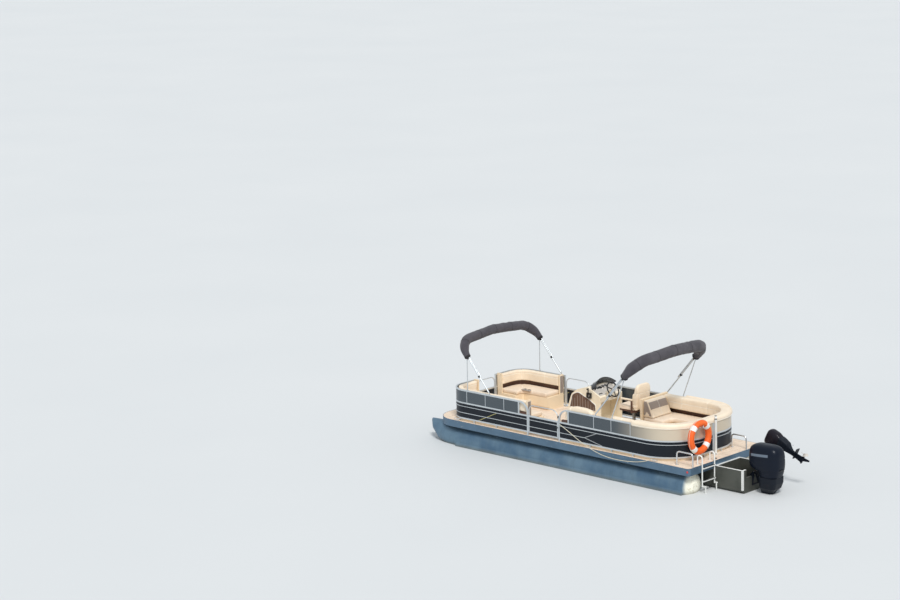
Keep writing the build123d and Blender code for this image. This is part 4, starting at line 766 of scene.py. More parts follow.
def captain_chair():
    """Captain's chair: moulded pan, seat, winged back with a head pad, and arm pads."""
    x, y = -0.64, -0.65
    bm = raised([(x - 0.11, y - 0.13), (x + 0.11, y - 0.13), (x + 0.11, y + 0.13), (x - 0.11, y + 0.13)],
                (0.02, 0.02, 0.02, 0.02), 0.9905, 1.024)
    piece("chair_plate", rounded(bm, 0.003), "helm_chair", "black_plastic", stands_for=["chair"])
    bm = upright(((x - 0.22, 1.026), (x + 0.22, 1.026), (x + 0.235, 1.06), (x - 0.25, 1.06)), y - 0.225,
                 y + 0.225)
    piece("chair_pan", rounded(bm, 0.01), "helm_chair", "dark_shell", stands_for=["chair"])
    bm = upright(((x - 0.20, 1.064), (x + 0.235, 1.064), (x + 0.252, 1.105), (x + 0.235, 1.172),
                  (x - 0.14, 1.15)), y - 0.235, y + 0.235)
    seams = [fore_and_aft(y + off, 0.01, 0.008, lambda p: p.z > 1.08) for off in (-0.15, 0.15)]
    stuff("chair_seat", bm, "tan_vinyl", ["chair"], "helm_chair", seams=seams, voxel=0.009, cap=0.009)
    bm = upright(((x - 0.19, 1.075), (x - 0.145, 1.16), (x - 0.20, 1.53), (x - 0.225, 1.668),
                  (x - 0.295, 1.668), (x - 0.295, 1.50), (x - 0.255, 1.075)), y - 0.235, y + 0.235)
    # The head is round when seen from the front
    head = [e for e in bm.edges
            if all(v.co.z > 1.66 for v in e.verts) and abs(e.verts[0].co.y - e.verts[1].co.y) < 0.01]
    bmesh.ops.bevel(bm, geom=head, offset=0.125, segments=8, profile=0.5, affect="EDGES", clamp_overlap=False,
                    material=-1)
    for hand in (1, -1):
        upright(((x - 0.20, 1.10), (x - 0.115, 1.17), (x - 0.15, 1.44), (x - 0.24, 1.50)), y + hand * 0.17,
                y + hand * 0.245, bm)
    seams = [level_seam(1.46, 0.01, 0.008)]
    seams += [fore_and_aft(y + off, 0.01, 0.007, lambda p: p.z < 1.46) for off in (-0.15, 0.15)]
    stuff("chair_back", bm, "cream_vinyl", ["chair"], "helm_chair", seams=seams, voxel=0.01, cap=0.009,
          smooth=10)
    for hand, name in ((1, "port"), (-1, "starboard")):
        middle = y + hand * 0.281
        bm = box((x - 0.185, middle - 0.019, 1.302), (x + 0.145, middle + 0.019, 1.342))
        stuff("chair_arm_pad_" + name, bm, "cream_vinyl", ["chair"], "helm_chair", voxel=0.006, cap=0.003,
              smooth=6, fill=0.9)
        bm = upright(((x - 0.185, 1.02), (x - 0.145, 1.02), (x - 0.145, 1.29), (x + 0.13, 1.302),
                      (x - 0.185, 1.302)), middle - 0.012, middle + 0.012)
        box((x - 0.19, min(y + hand * 0.2, middle), 1.03), (x - 0.14, max(y + hand * 0.2, middle), 1.05), bm)
        piece("chair_arm_" + name, rounded(bm, 0.003), "helm_chair", "dark_shell", stands_for=["chair"])


bow_cushions()
stern_cushions()
side_cushions()
captain_chair()


# Lines, sleeves and small parts


def fillets(points, radii, steps):
    """A line through corner points with its corners rounded."""
    points = [Vector(p) for p in points]
    line = [points[0]]
    for before, corner, after, radius in zip(points, points[1:], points[2:], radii):
        to_a, to_b = (before - corner).normalized(), (after - corner).normalized()
        half = to_a.angle(to_b) / 2
        centre = corner + (to_a + to_b).normalized() * radius / math.sin(half)
        start = corner + to_a * radius / math.tan(half) - centre
        end = corner + to_b * radius / math.tan(half) - centre
        for number in range(steps + 1):
            line.append(centre + start.normalized().slerp(end.normalized(), number / steps) * radius)
    line.append(points[-1])
    return line


def distances(line):
    """How far along the line each of its points lies."""
    marks = [0.0]
    for a, b in zip(line, line[1:]):
        marks.append(marks[-1] + (b - a).length)
    return marks


def spaced(line, gap):
    """The same line with evenly spaced points."""
    marks = distances(line)
    count = max(2, round(marks[-1] / gap))
    points, k = [], 0
    for number in range(count + 1):
        goal = marks[-1] * number / count
        while k < len(line) - 2 and marks[k + 1] < goal:
            k += 1
        points.append(line[k].lerp(line[k + 1], (goal - marks[k]) / max(marks[k + 1] - marks[k], 1e-9)))
    return points


def circle(centre, radius, across, over, count):
    """Points of a circle in the plane of two directions."""
    turns = [math.tau * k / count for k in range(count)]
    return [centre + (across * math.cos(a) + over * math.sin(a)) * radius for a in turns]


def frames(line, side):
    """Each point with its direction and two directions across, without twist. Side is the first of them."""
    rows = []
    for number, point in enumerate(line):
        way = (line[min(number + 1, len(line) - 1)] - line[max(number - 1, 0)]).normalized()
        side = way.orthogonal() if side is None else side
        side = (side - way * side.dot(way)).normalized()
        rows.append((point, way, side, way.cross(side)))
    return rows


def by_angle(verts):
    """The vertices of a ring by their angle in whole degrees."""
    return {round(math.degrees(angle)): vert for vert, angle in verts.items()}


def rings(places, sides):
    """A closed skin of rings. places[n](angle) gives a point of ring n; one ring is drawn out into the next."""
    bm = bmesh.new()
    ring = bmesh.ops.create_circle(bm, segments=sides, radius=1.0)["verts"]
    angles = {v: math.atan2(v.co.y, v.co.x) for v in ring}
    first = edges = bm.edges[:]
    for vert in ring:
        vert.co = places[0](angles[vert])
    order = [by_angle(angles)]
    for place in places[1:]:
        grown = bmesh.ops.extrude_edge_only(bm, edges=edges)["geom"]
        fresh = {g for g in grown if isinstance(g, bmesh.types.BMVert)}
        turned = {}
        for vert in grown:
            if vert in fresh:
                old = next(e.other_vert(vert) for e in vert.link_edges if e.other_vert(vert) in angles)
                turned[vert] = angles[old]
        edges = [g for g in grown if isinstance(g, bmesh.types.BMEdge) and set(g.verts) <= fresh]
        for vert, angle in turned.items():
            vert.co = place(angle)
        angles = turned
        order.append(by_angle(angles))
    bmesh.ops.edgeloop_fill(bm, edges=first)
    bmesh.ops.edgeloop_fill(bm, edges=edges)
    bmesh.ops.recalc_face_normals(bm, faces=bm.faces)
    bm.verts.index_update()
    return bm, [{a: v.index for a, v in row.items()} for row in order]


def sleeve(line, radius, sides, side=None):
    """A skin round a line. radius takes the distance along it, the angle and the length."""
    rows = frames(line, side)
    marks = distances(line)

    def place(number):
        point, _, a, b = rows[number]

        def spot(angle):
            r = radius(marks[number], angle, marks[-1])
            wide, high = r if isinstance(r, tuple) else (r, r)
            return point + a * math.cos(angle) * wide + b * math.sin(angle) * high

        return spot

    return rings([place(number) for number in range(len(line))], sides)


def aimed(point, way):
    """The placing that carries a shape to a point and turns its top along a direction."""
    return Matrix.Translation(point) @ Vector(way).to_track_quat("Z", "Y").to_matrix().to_4x4()


def knob(bm, centre, axis, radius, length, tip, sides):
    """A round stud centred on a point, added to a mesh. Tip is the radius at its far end."""
    bmesh.ops.create_cone(bm, cap_ends=True, segments=sides, radius1=radius, depth=length, radius2=tip,
                          matrix=aimed(centre, axis))


def knobs(name, rows, body, slot, look=None, smooth=False, ease=0.0):
    """Several studs as one piece. A row is what knob() takes."""
    bm = bmesh.new()
    for row in rows:
        knob(bm, *row)
    if ease:
        rounded(bm, ease, 2)
    return piece(name, bm, body, slot, look, smooth=smooth)


def heads(name, places, radius, body, slot):
    """Domed screw heads. Each place is a point and the way it faces."""
    bm = bmesh.new()
    dome = Matrix.Diagonal((1.0, 1.0, 0.45, 1.0))
    for point, way in places:
        bmesh.ops.create_uvsphere(bm, u_segments=10, v_segments=6, radius=radius,
                                  matrix=aimed(point, way) @ dome)
    return piece(name, bm, body, slot)


def slabs(name, blocks, size, body, slot, look=None):
    """Blocks between two corners each, with their edges rounded, as one mesh."""
    bm = bmesh.new()
    for low, high in blocks:
        box(low, high, bm)
    return piece(name, rounded(bm, size, 2), body, slot, look, smooth=False)


# Folded tops. The lean is in degrees, and the seed sets where the noise of a boot's folds starts.
Top = namedtuple("Top", "name pivot lean reach cover radius slide knuckle body seed")
TOPS = (
    Top("front", 1.979, 49.5, 1.470, 0.985, 0.112, 0.965, 0.45, "front_top", 11.0),
    Top("rear", -1.112, 131.0, 1.760, 1.240, 0.132, 1.180, 0.62, "rear_top", 3.0),
)
TOP_PIVOT_Z = 1.366


def on_leg(top, y, along):
    """A point on a leg of a top."""
    lean = math.radians(top.lean)
    return Vector((top.pivot + along * math.cos(lean), y, TOP_PIVOT_Z + along * math.sin(lean)))


def hoop(top, start):
    """Centre line of a top's hoop from one leg round to the other."""
    shoulder = top.reach - 0.09
    corners = (on_leg(top, FENCE_Y, start), on_leg(top, FENCE_Y, shoulder), on_leg(top, 0.0, top.reach + 0.018),
               on_leg(top, -FENCE_Y, shoulder), on_leg(top, -FENCE_Y, start))
    return fillets(corners, (0.42, 1.68, 0.42), 14)


def boot(top):
    """The furled cover in its boot: a fat sleeve, gathered at both ends, with soft folds."""
    line = spaced(hoop(top, top.cover), 0.02)

    def radius(along, angle, length):
        end = min(along, length - along)
        open_up = min(1.0, end / 0.30)
        grow = 0.60 + 0.36 * open_up * open_up * (3 - 2 * open_up)
        spot = Vector((along * 2.2 + top.seed, math.cos(angle) * 1.3, math.sin(angle) * 1.3))
        long_fold = noise.noise(spot) * 0.09
        spot = Vector((along * 9.0, math.cos(angle) * 1.6, math.sin(angle) * 1.6 + top.seed))
        fold = noise.noise(spot) * 0.07
        pleat = math.sin(angle * 11 + top.seed + 2.0 * along) * 0.08 * max(0.0, 1.0 - end / 0.26)
        return min(1.0, grow * (1.0 + long_fold + fold + pleat)) * top.radius

    bm, order = sleeve(line, radius, 40)
    made = piece(top.name + "_boot", bm, top.body, "boot_fabric", stands_for=[top.name + "_top_cover"])
    ends = {index for row in (order[:3] + order[-3:]) for index in row.values()}
    PADS.append(Pad(made, 0.012, ends, "boot_fabric", top.body, (), 0.5))
    for number, rows in ((0, line[:2]), (1, line[-1:-3:-1])):
        cuff(top, number, rows[0], (rows[0] - rows[1]).normalized())
    return top, made, order


# A cuff: distance from the boot's end, the same from the cuff's own start, and share of the boot's radius
CUFF = ((-0.012, 0.0, 0.66), (0.012, 0.024, 0.64), (0.05, 0.062, 0.24), (0.062, 0.074, 0.19))


def cuff(top, number, end, out):
    """The dark band that ties an end of the boot to the leg."""
    def tight(along, angle, length):
        share = [row[2] for row in CUFF if along >= row[1] - 1e-6][-1]
        return share * top.radius * (1.0 + 0.04 * math.sin(angle * 8))

    bm, _ = sleeve([end + out * row[0] for row in CUFF], tight, 32)
    piece("%s_boot_cuff_%d" % (top.name, number), bm, top.body, "boot_fabric", "dark_fabric")


def boot_zip(top, made, order):
    """The zip along a boot and its webbing straps, laid on the finished cloth."""
    spots = [v.co for v in made.data.vertices]
    keys = sorted(order[0])
    low = min(keys, key=lambda a: spots[order[len(order) // 2][a]].z)
    line = [spots[row[low]].copy() for row in order[4:-4]]
    tubes(top.name + "_boot_zip", [(line, False)], 0.004, top.body, "boot_fabric", "dark_fabric")
    loops = []
    for share in (0.14, 0.32, 0.5, 0.68, 0.86):
        row = order[int(share * (len(order) - 1))]
        ring = [spots[row[a]].copy() for a in keys]
        middle = sum(ring, Vector()) / len(ring)
        loops.append(([p + (p - middle).normalized() * 0.001 for p in ring], True))
    tubes(top.name + "_boot_straps", loops, 0.0035, top.body, "boot_fabric", "dark_fabric")


def leg_fittings(top):
    """The sliding collars on a top's legs and the knuckles that join its struts."""
    collars, knuckles = [], []
    for y in (FENCE_Y, -FENCE_Y):
        collars.append(([on_leg(top, y, top.slide - 0.03), on_leg(top, y, top.slide + 0.03)], False))
        knuckles.append((on_leg(top, y, top.knuckle), (0, 1, 0), 0.027, 0.045, 0.027, 24))
    tubes(top.name + "_top_collars", collars, 0.0205, top.body, "black_plastic", None, 4)
    knobs(top.name + "_top_knuckles", knuckles, top.body, "black_plastic", smooth=True, ease=0.006)


def rail_roll():
    """The padded roll over the stern rail, from the port side round to starboard."""
    corners = [(x, y, 1.332) for x, y in ((-2.11, FENCE_Y), (FENCE_STERN, FENCE_Y), (FENCE_STERN, -FENCE_Y),
                                          (-1.66, -FENCE_Y))]
    line = spaced(fillets(corners, (STERN_RADIUS, STERN_RADIUS), 28), 0.02)

    def size(along, angle, length):
        end = min(1.0, min(along, length - along) / 0.03)
        grow = 0.72 + 0.28 * math.sqrt(max(0.0, end))
        return (0.066 * grow, 0.032 * grow)

    bm, order = sleeve(line, size, 28, UP)
    made = piece("stern_rail_roll", bm, "hull", "cream_vinyl", stands_for=["stern_back"])
    ends = set(order[0].values()) | set(order[-1].values())
    PADS.append(Pad(made, 0.003, ends, "cream_vinyl", "hull", (), 0.7))
    return made, order


def roll_piping(made, order):
    """Piping along both edges of the roll, laid on the finished pad."""
    lines = []
    for edge in (-120, 120):
        angle = min(sorted(order[0]), key=lambda a: abs(a - edge))
        lines.append(([made.data.vertices[row[angle]].co.copy() for row in order[2:-2]], False))
    tubes("stern_roll_piping", lines, 0.005, "hull", "cream_vinyl", "white_vinyl")


boots = []
for top in TOPS:
    boots.append(boot(top))
    leg_fittings(top)
stern_roll = rail_roll()
finish_pads()
for row in boots:
    boot_zip(*row)
roll_piping(*stern_roll)


# Outboards. A motor's own frame starts at its tilt axis; drop is the share of the main one's depth, and
# lift is the gap left under the cover.
Motor = namedtuple("Motor", "name origin lean size drop lift look")
MOTORS = (
    Motor("main", (-4.470, 0.0, 0.4), 0.0, 1.0, 1.0, 0.0003, "motor_cowl"),
    Motor("aux", (-4.436, -0.765, 0.748), 65.0, 0.5, 0.82, 0.0, "aux_cowl"),
)
# Rows of an engine cover: height, front, rear and width
COWL = (
    (-0.030, -0.170, -0.600, 0.410), (0.085, -0.140, -0.636, 0.440), (0.100, -0.132, -0.640, 0.446),
    (0.122, 0.020, -0.650, 0.460), (0.160, 0.070, -0.656, 0.476), (0.230, 0.098, -0.662, 0.490),
    (0.340, 0.104, -0.660, 0.487), (0.450, 0.103, -0.654, 0.478), (0.520, 0.092, -0.636, 0.455),
    (0.575, 0.070, -0.606, 0.412), (0.612, 0.036, -0.566, 0.350), (0.636, -0.012, -0.520, 0.270),
    (0.648, -0.08, -0.450, 0.160), (0.651, -0.18, -0.35, 0.05),
)
# Grooves of a cover: level, half width, depth and how far forward it runs
COWL_GROOVES = ((0.105, 0.014, 0.007, 1.0), (0.36, 0.02, 0.006, -0.02))
COWL_ROUNDNESS = 0.62


def on_motor(bm, motor, lift=0.0):
    """Carries a mesh from a motor's own frame to its place on the boat."""
    turn = Matrix.Rotation(math.radians(motor.lean), 4, "Y")
    place = Matrix.Translation(Vector(motor.origin) + UP * lift) @ turn @ Matrix.Scale(motor.size, 4)
    bmesh.ops.transform(bm, matrix=place, verts=bm.verts)


def engine_cover(motor):
    """A smooth engine cover with a seam groove above its apron, and its two latches."""
    rows = []
    for a, b in zip(COWL, COWL[1:]):
        parts = max(1, round((b[0] - a[0]) / 0.02))
        for k in range(parts):
            rows.append([p + (q - p) * k / parts for p, q in zip(a, b)])
    rows.append(list(COWL[-1]))

    def ring(row):
        height, front, rear, width = row

        def spot(angle):
            c, s = math.cos(angle), math.sin(angle)
            x = (front + rear) / 2 + (front - rear) / 2 * math.copysign(abs(c) ** COWL_ROUNDNESS, c)
            return Vector((x, width / 2 * math.copysign(abs(s) ** COWL_ROUNDNESS, s), height))

        return spot

    bm, _ = rings([ring(row) for row in rows], 72)
    inner = [v for v in bm.verts if v.co.z > 0.0]
    softened(bm, inner, 4)
    bm.normal_update()
    for level, half, depth, front in COWL_GROOVES:
        for vert in bm.verts:
            off = abs(vert.co.z - level)
            if off < half and vert.co.x < front:
                vert.co -= vert.normal * depth * (1.0 - off / half)
    on_motor(bm, motor, motor.lift)
    piece(motor.name + "_engine_cover", bm, motor.name + "_motor", "motor_cowl", motor.look,
          stands_for=[motor.name + "_cowl"])
    bm = box((-0.668, -0.06, 0.125), (-0.652, 0.06, 0.150))
    rounded(box((0.094, -0.07, 0.19), (0.108, 0.07, 0.25), bm), 0.004, 2)
    on_motor(bm, motor, motor.lift)
    piece(motor.name + "_cover_latches", bm, motor.name + "_motor", "black_plastic", smooth=False)


def motor_bits(motor):
    """Bolts and anode of the leg, and the propeller's nut."""
    drop = motor.drop
    bm = bmesh.new()
    for hand in (1, -1):
        for x, z in ((-0.24, -0.29), (-0.42, -0.29), (-0.21, -0.45 * drop), (-0.35, -0.45 * drop)):
            wide = 0.152 if z > -0.3 else 0.052
            knob(bm, (x, hand * wide, z), (0, hand, 0), 0.011, 0.014, 0.009, 6)
        for k in range(4):
            knob(bm, (-0.20 - 0.02 * k, hand * 0.05, -0.80 * drop), (0, hand, 0), 0.005, 0.012, 0.005, 8)
    box((-0.45, -0.02, -0.610 * drop), (-0.36, 0.02, -0.585 * drop), bm)
    on_motor(bm, motor)
    piece(motor.name + "_leg_bolts", bm, motor.name + "_motor", "motor_black", "frame_metal")
    bm = bmesh.new()
    knob(bm, (-0.612, 0.0, -0.805 * drop), AFT, 0.022, 0.024, 0.010, 6)
    knob(bm, (-0.602, 0.0, -0.805 * drop), AFT, 0.030, 0.004, 0.030, 24)
    on_motor(bm, motor)
    piece(motor.name + "_screw_nut", bm, motor.name + "_screw", "motor_black", "stainless", smooth=False)


for motor in MOTORS:
    engine_cover(motor)
for motor in MOTORS:
    motor_bits(motor)


# Route of the mooring line: x, distance outside the deck's edge, and z
ROPE = ((-0.120, -0.033, 0.990), (-0.270, -0.003, 0.945), (-0.450, 0.011, 0.868), (-0.650, 0.017, 0.764),
        (-0.860, 0.019, 0.672), (-1.080, 0.020, 0.592), (-1.300, 0.021, 0.532), (-1.530, 0.021, 0.498),
        (-1.770, 0.021, 0.488), (-2.010, 0.021, 0.497), (-2.250, 0.020, 0.522), (-2.450, 0.017, 0.558),
        (-2.610, 0.008, 0.606), (-2.700, -0.019, 0.652))
ROPE_STEP, ROPE_TWIST = 0.007, 0.052
STRAND_RADIUS, STRAND_OFFSET = 0.0041, 0.0040


def mooring_line():
    """Three strands laid round the line's route."""
    curve = bpy.data.curves.new("rope_route", "CURVE")
    curve.dimensions = "3D"
    curve.resolution_u = 12
    spline = curve.splines.new("NURBS")
    spline.points.add(len(ROPE) - 1)
    for spot, (x, outside, z) in zip(spline.points, ROPE):
        spot.co = (x, DECK_SIDE + outside, z, 1.0)
    spline.order_u = 3
    spline.use_endpoint_u = True
    raw = linked("rope_route", curve)
    route = frozen(raw)
    path = [v.co.copy() for v in route.vertices]
    bpy.data.objects.remove(raw)
    bpy.data.curves.remove(curve)
    bpy.data.meshes.remove(route)
    length = distances(path)[-1]
    path = spaced(path, ROPE_STEP)
    rows = frames(path, UP)
    strands = []
    for number in range(3):
        strand = []
        for k, (point, _, a, b) in enumerate(rows):
            turn = math.tau * (k * ROPE_STEP / ROPE_TWIST + number / 3)
            strand.append(point + (a * math.cos(turn) + b * math.sin(turn)) * STRAND_OFFSET)
        strands.append((strand, False))
    line = tubes("mooring_line", strands, STRAND_RADIUS, "hull", "rope_fibre", None, 1, ["rope"])
    tuple(path[0])
    [tuple(p) for p in path]


mooring_line()


# Helm. A place on the sloping dash is given by the distance down it, y, and the height above it.
DASH_FOOT = Vector((0.11, 0.0, 1.23))
DASH_WAY = Vector((0.8896, 0.0, 0.4568))
DASH_UP = Vector((-0.4568, 0.0, 0.8896))
GAUGE_RADIUS = 0.040
SCREEN_FOOT, SCREEN_SLOPE, SCREEN_HEIGHT = Vector((0.88, -0.77, 1.215)), math.radians(36.0), 0.64
SCREEN_BOW, SCREEN_TURN = 0.466, math.radians(50.4)
WALKWAY_FACE = -0.386
HUB, WHEEL_TILT = Vector((0.0, -0.70, 1.38)), math.radians(30.0)
LEVER = Vector((0.42, -0.3425, 1.24))


def on_dash(along, y, above):
    """A point on the sloping dash."""
    return DASH_FOOT + DASH_WAY * along + Vector((0.0, y, 0.0)) + DASH_UP * above


def tray(bm, along, y, half_along, half_y, thick):
    """A plate that lies on the dash."""
    turn = Matrix((DASH_WAY, (0.0, 1.0, 0.0), DASH_UP)).transposed().to_4x4()
    place = Matrix.Translation(on_dash(along, y, thick / 2)) @ turn
    size = Matrix.Diagonal((2 * half_along, 2 * half_y, thick, 1.0))
    bmesh.ops.create_cube(bm, size=1.0, matrix=place @ size)


def dash():
    """The dash plate with its gauges and switches."""
    bm = bmesh.new()
    tray(bm, 0.215, -0.77, 0.165, 0.345, 0.004)
    piece("dash_plate", rounded(bm, 0.0015, 2), "hull", "cream_gel", "silver_plastic", smooth=False)
    rims, faces, hands = [], [], []
    for y in (-0.50, -0.60, -0.80, -0.90):
        r = GAUGE_RADIUS
        middle, tip = on_dash(0.30, y, 0.0172), on_dash(0.30 + r * 0.5, y + r * 0.4, 0.0172)
        rims.append((on_dash(0.30, y, 0.009), DASH_UP, r + 0.006, 0.012, r + 0.002, 32))
        faces.append((on_dash(0.30, y, 0.0155), DASH_UP, r, 0.002, r - 0.001, 32))
        hands.append((on_dash(0.30, y, 0.018), DASH_UP, r * 0.16, 0.004, r * 0.12, 12))
        hands.append(((middle + tip) / 2, tip - middle, 0.0014, r * 0.62, 0.0008, 8))
    knobs("gauge_rims", rims, "hull", "stainless")
    knobs("gauge_faces", faces, "hull", "black_plastic", "dial_face")
    knobs("gauge_hands", hands, "hull", "white_metal", "white_plastic", smooth=True)
    bm = bmesh.new()
    tray(bm, 0.30, -0.70, 0.036, 0.045, 0.008)
    for y in (-0.47, -0.50, -0.53, -0.56, -0.86, -0.89, -0.92, -0.95):
        tray(bm, 0.11, y, 0.016, 0.009, 0.010)
    piece("dash_switches", rounded(bm, 0.002, 2), "hull", "black_plastic", smooth=False)


def screen_trim():
    """A bead over the screen's top edge and down both sides."""
    way = Vector((-math.cos(SCREEN_SLOPE), 0.0, math.sin(SCREEN_SLOPE)))
    down = Vector((-math.sin(SCREEN_SLOPE), 0.0, -math.cos(SCREEN_SLOPE)))
    bow = SCREEN_BOW - 0.004
    arc = []
    for step in range(25):
        turn = SCREEN_TURN * (step / 12 - 1.0)
        aside = Vector((0.0, bow * math.sin(turn), 0.0))
        arc.append(SCREEN_FOOT + way * SCREEN_HEIGHT + aside + down * (SCREEN_BOW - bow * math.cos(turn)))
    sides = [([end, end - way * 0.13], False) for end in (arc[0], arc[-1])]
    tubes("screen_trim", [(arc, False)] + sides, 0.0065, "hull", "black_plastic", None, 3)


def console_arch():
    """The console's panel by the walkway: an arch with a white edge and a ribbed insert."""
    arch = fillets([(0.25, 0.0, 0.90), (0.25, 0.0, 1.04), (0.44, 0.0, 1.145), (0.76, 0.0, 1.275),
                    (0.93, 0.0, 1.19), (1.01, 0.0, 0.90)], (0.05, 0.1, 0.16, 0.12), 8)
    bm = upright([(p.x, p.z) for p in arch], WALKWAY_FACE - 0.0038, WALKWAY_FACE + 0.0002)
    piece("console_arch", bm, "hull", "cream_gel", "brown_vinyl", smooth=False)
    edge = [Vector((p.x, WALKWAY_FACE, p.z)) for p in arch]
    tubes("console_arch_edge", [(edge, True)], 0.0075, "hull", "white_metal", "white_plastic")
    ribs = []
    for step in range(9):
        x = 0.31 + 0.078 * step
        top = min((p.z for p in edge if abs(p.x - x) < 0.12 and p.z > 0.95), default=1.0)
        ribs.append(([Vector((x, WALKWAY_FACE, 0.92)), Vector((x, WALKWAY_FACE, top - 0.02))], False))
    tubes("console_ribs", ribs, 0.006, "hull", "cream_gel", "taupe_vinyl")


def cup_wells():
    """Two cup wells in their tray in the starboard bow lounge."""
    places = [(x, -0.66) for x in (2.48, 2.60)]
    knobs("cup_rims", [((x, y, 1.005), UP, 0.046, 0.008, 0.044, 32) for x, y in places], "hull", "stainless")
    knobs("cup_wells", [((x, y, 1.0092), UP, 0.037, 0.002, 0.037, 32) for x, y in places], "hull",
          "black_plastic")
    bm = raised([(2.41, -0.585), (2.68, -0.585), (2.68, -0.735), (2.41, -0.735)], (0.03,) * 4, 0.985, 1.0035)
    piece("cup_tray", rounded(bm, 0.003, 2), "hull", "cream_gel", "taupe_vinyl", smooth=False)


def wheel_dress():
    """The wheel's hub cap and the grip rings on its rim."""
    axis = Vector((-math.cos(WHEEL_TILT), 0.0, math.sin(WHEEL_TILT)))
    side = Vector((0.0, 1.0, 0.0))
    knobs("wheel_cap", [(HUB + axis * 0.0165, axis, 0.032, 0.009, 0.026, 32)], "helm_wheel", "stainless",
          "silver_plastic", smooth=True, ease=0.002)
    grips = []
    for number, centre in enumerate(circle(HUB, 0.17, side, axis.cross(side), 48)):
        if number % 8 not in (0, 1, 7):
            grips.append((circle(centre, 0.0148, (centre - HUB).normalized(), axis, 16), True))
    tubes("wheel_grips", grips, 0.0014, "helm_wheel", "black_plastic", None, 1)


def lever_mount():
    """The engine control's pivot boss and its screws."""
    way = (0, 1, 0)
    knobs("control_pivot", [(LEVER, way, 0.028, 0.005, 0.026, 32)], "hull", "stainless", "silver_plastic")
    places = [(LEVER + Vector((dx, -0.0013, dz)), way) for dx in (-0.05, 0.05) for dz in (-0.05, 0.05)]
    heads("control_screws", places, 0.005, "hull", "stainless")


dash()
screen_trim()
console_arch()
cup_wells()
wheel_dress()
lever_mount()


# Fence and gates. A span is a run of panels along one side.
SPANS = ((1, 0.86, 2.80), (1, -2.43, -0.11), (-1, 1.89, 2.80), (-1, -2.43, 1.06))
PORT_JOINTS = (2.665, 2.10, 1.539, -1.067, -1.553, -2.082)
STARBOARD_JOINTS = (2.665, 2.10, 0.60, 0.05, -0.50, -1.067, -1.553, -2.082)
SIDE_POSTS = ((0.836, 1), (-0.086, 1), (1.866, -1), (1.084, -1))
# A gate: its body, the way out of it, its free post and its hinge post
GATES = (
    ("port_gate", (0.0, 1.0, 0.0), (-0.046, FENCE_Y), (0.796, FENCE_Y)),
    ("starboard_gate", (0.0, -1.0, 0.0), (1.124, -FENCE_Y), (1.826, -FENCE_Y)),
    ("bow_gate", (1.0, 0.0, 0.0), (FENCE_BOW, 0.306), (FENCE_BOW, -0.306)),
)


def panel_joints():
    """Cover strips over the joints of the upper panels."""
    strips = []
    for side, joints in ((1, PORT_JOINTS), (-1, STARBOARD_JOINTS)):
        low_y, high_y = sorted((side * 1.2382, side * 1.2402))
        strips += [((x - 0.007, low_y, 1.050), (x + 0.007, high_y, 1.302)) for x in joints]
    slabs("panel_joints", strips, 0.0008, "hull", "rail_metal")


def panel_rivets():
    """Rows of rivets along the rails of both panels."""
    rivets = []
    for side, low, high in SPANS:
        count = int((high - low) / 0.155)
        for step in range(count + 1):
            x = low + (high - low) * step / count
            upper = low + 0.26 < x < high - 0.05 or (low < 0 and x < high - 0.27)
            for z in (0.697, 1.006, 1.054, 1.296) if upper else (0.697, 1.006):
                rivets.append(((x, side * PANEL_FACE, z), (0, side, 0)))
    heads("panel_rivets", rivets, 0.0042, "hull", "stainless")


def trim_screws():
    """Two staggered rows of screws along the deck's edge trim."""
    screws = []
    for side in (1, -1):
        for step in range(25):
            x = -3.55 + 0.27 * step
            screws.append(((x, side * (DECK_SIDE + 0.0005), 0.562), (0, side, 0)))
            if step < 24:
                screws.append(((x + 0.135, side * (DECK_SIDE + 0.0005), 0.476), (0, side, 0)))
    screws += [((-3.7005, -1.16 + 0.29 * step, 0.562), AFT) for step in range(9)]
    heads("trim_screws", screws, 0.0055, "hull", "stainless")


def post_feet():
    """Foot plates of the gate posts, with a bolt in each corner."""
    low_z, high_z = DECK_TOP + 0.0002, DECK_TOP + 0.006
    feet = []
    for x, side in SIDE_POSTS:
        y = side * FENCE_Y
        feet.append(((x - 0.034, y - 0.034, low_z), (x + 0.034, y + 0.034, high_z)))
    for y in (0.346, -0.346):
        feet.append(((FENCE_BOW - 0.030, y - 0.034, low_z), (FENCE_BOW + 0.034, y + 0.034, high_z)))
    slabs("post_feet", feet, 0.0015, "hull", "rail_metal")
    bolts = [((x, y, DECK_TOP + 0.0065), UP) for low, high in feet for x in (low[0] + 0.008, high[0] - 0.008)
             for y in (low[1] + 0.008, high[1] - 0.008)]
    heads("post_bolts", bolts, 0.0052, "hull", "stainless")


def gate_fittings():
    """A latch on each gate's free post, and sockets where the hoops enter the gate rails."""
    for body, out, (x, y), _ in GATES:
        out = Vector(out)
        spot = Vector((x, y, 0.90))
        rows = ((spot + out * 0.0225, out, 0.013, 0.005, 0.012, 20),
                (spot + out * 0.030, out, 0.006, 0.012, 0.006, 12),
                (spot + out * 0.0395, out, 0.012, 0.009, 0.010, 20),
                ((x, y, 1.135), UP, 0.0165, 0.05, 0.0165, 20))
        knobs(body + "_latch", rows, body, "black_plastic", smooth=True)
    for body, _, *posts in GATES:
        rows = [((*post, 1.051), UP, 0.0148, 0.010, 0.0128, 24) for post in posts]
        knobs(body + "_hoop_collars", rows, body, "rail_metal")


panel_joints()
panel_rivets()
trim_screws()
post_feet()
gate_fittings()


# Deck, stern and hull
CLEATS = ((-2.74, 1.26), (-2.74, -1.26), (2.95, 1.256), (2.95, -1.256))
LIGHT_X = -3.41
SOCKET = (-3.60, 0.26)
RING_CENTRE, RING_RADIUS = Vector((-3.440, 0.590, 1.105)), 0.30
POD_AFT, POD_FRONT, POD_TOP = -4.440, -3.702, 0.5002
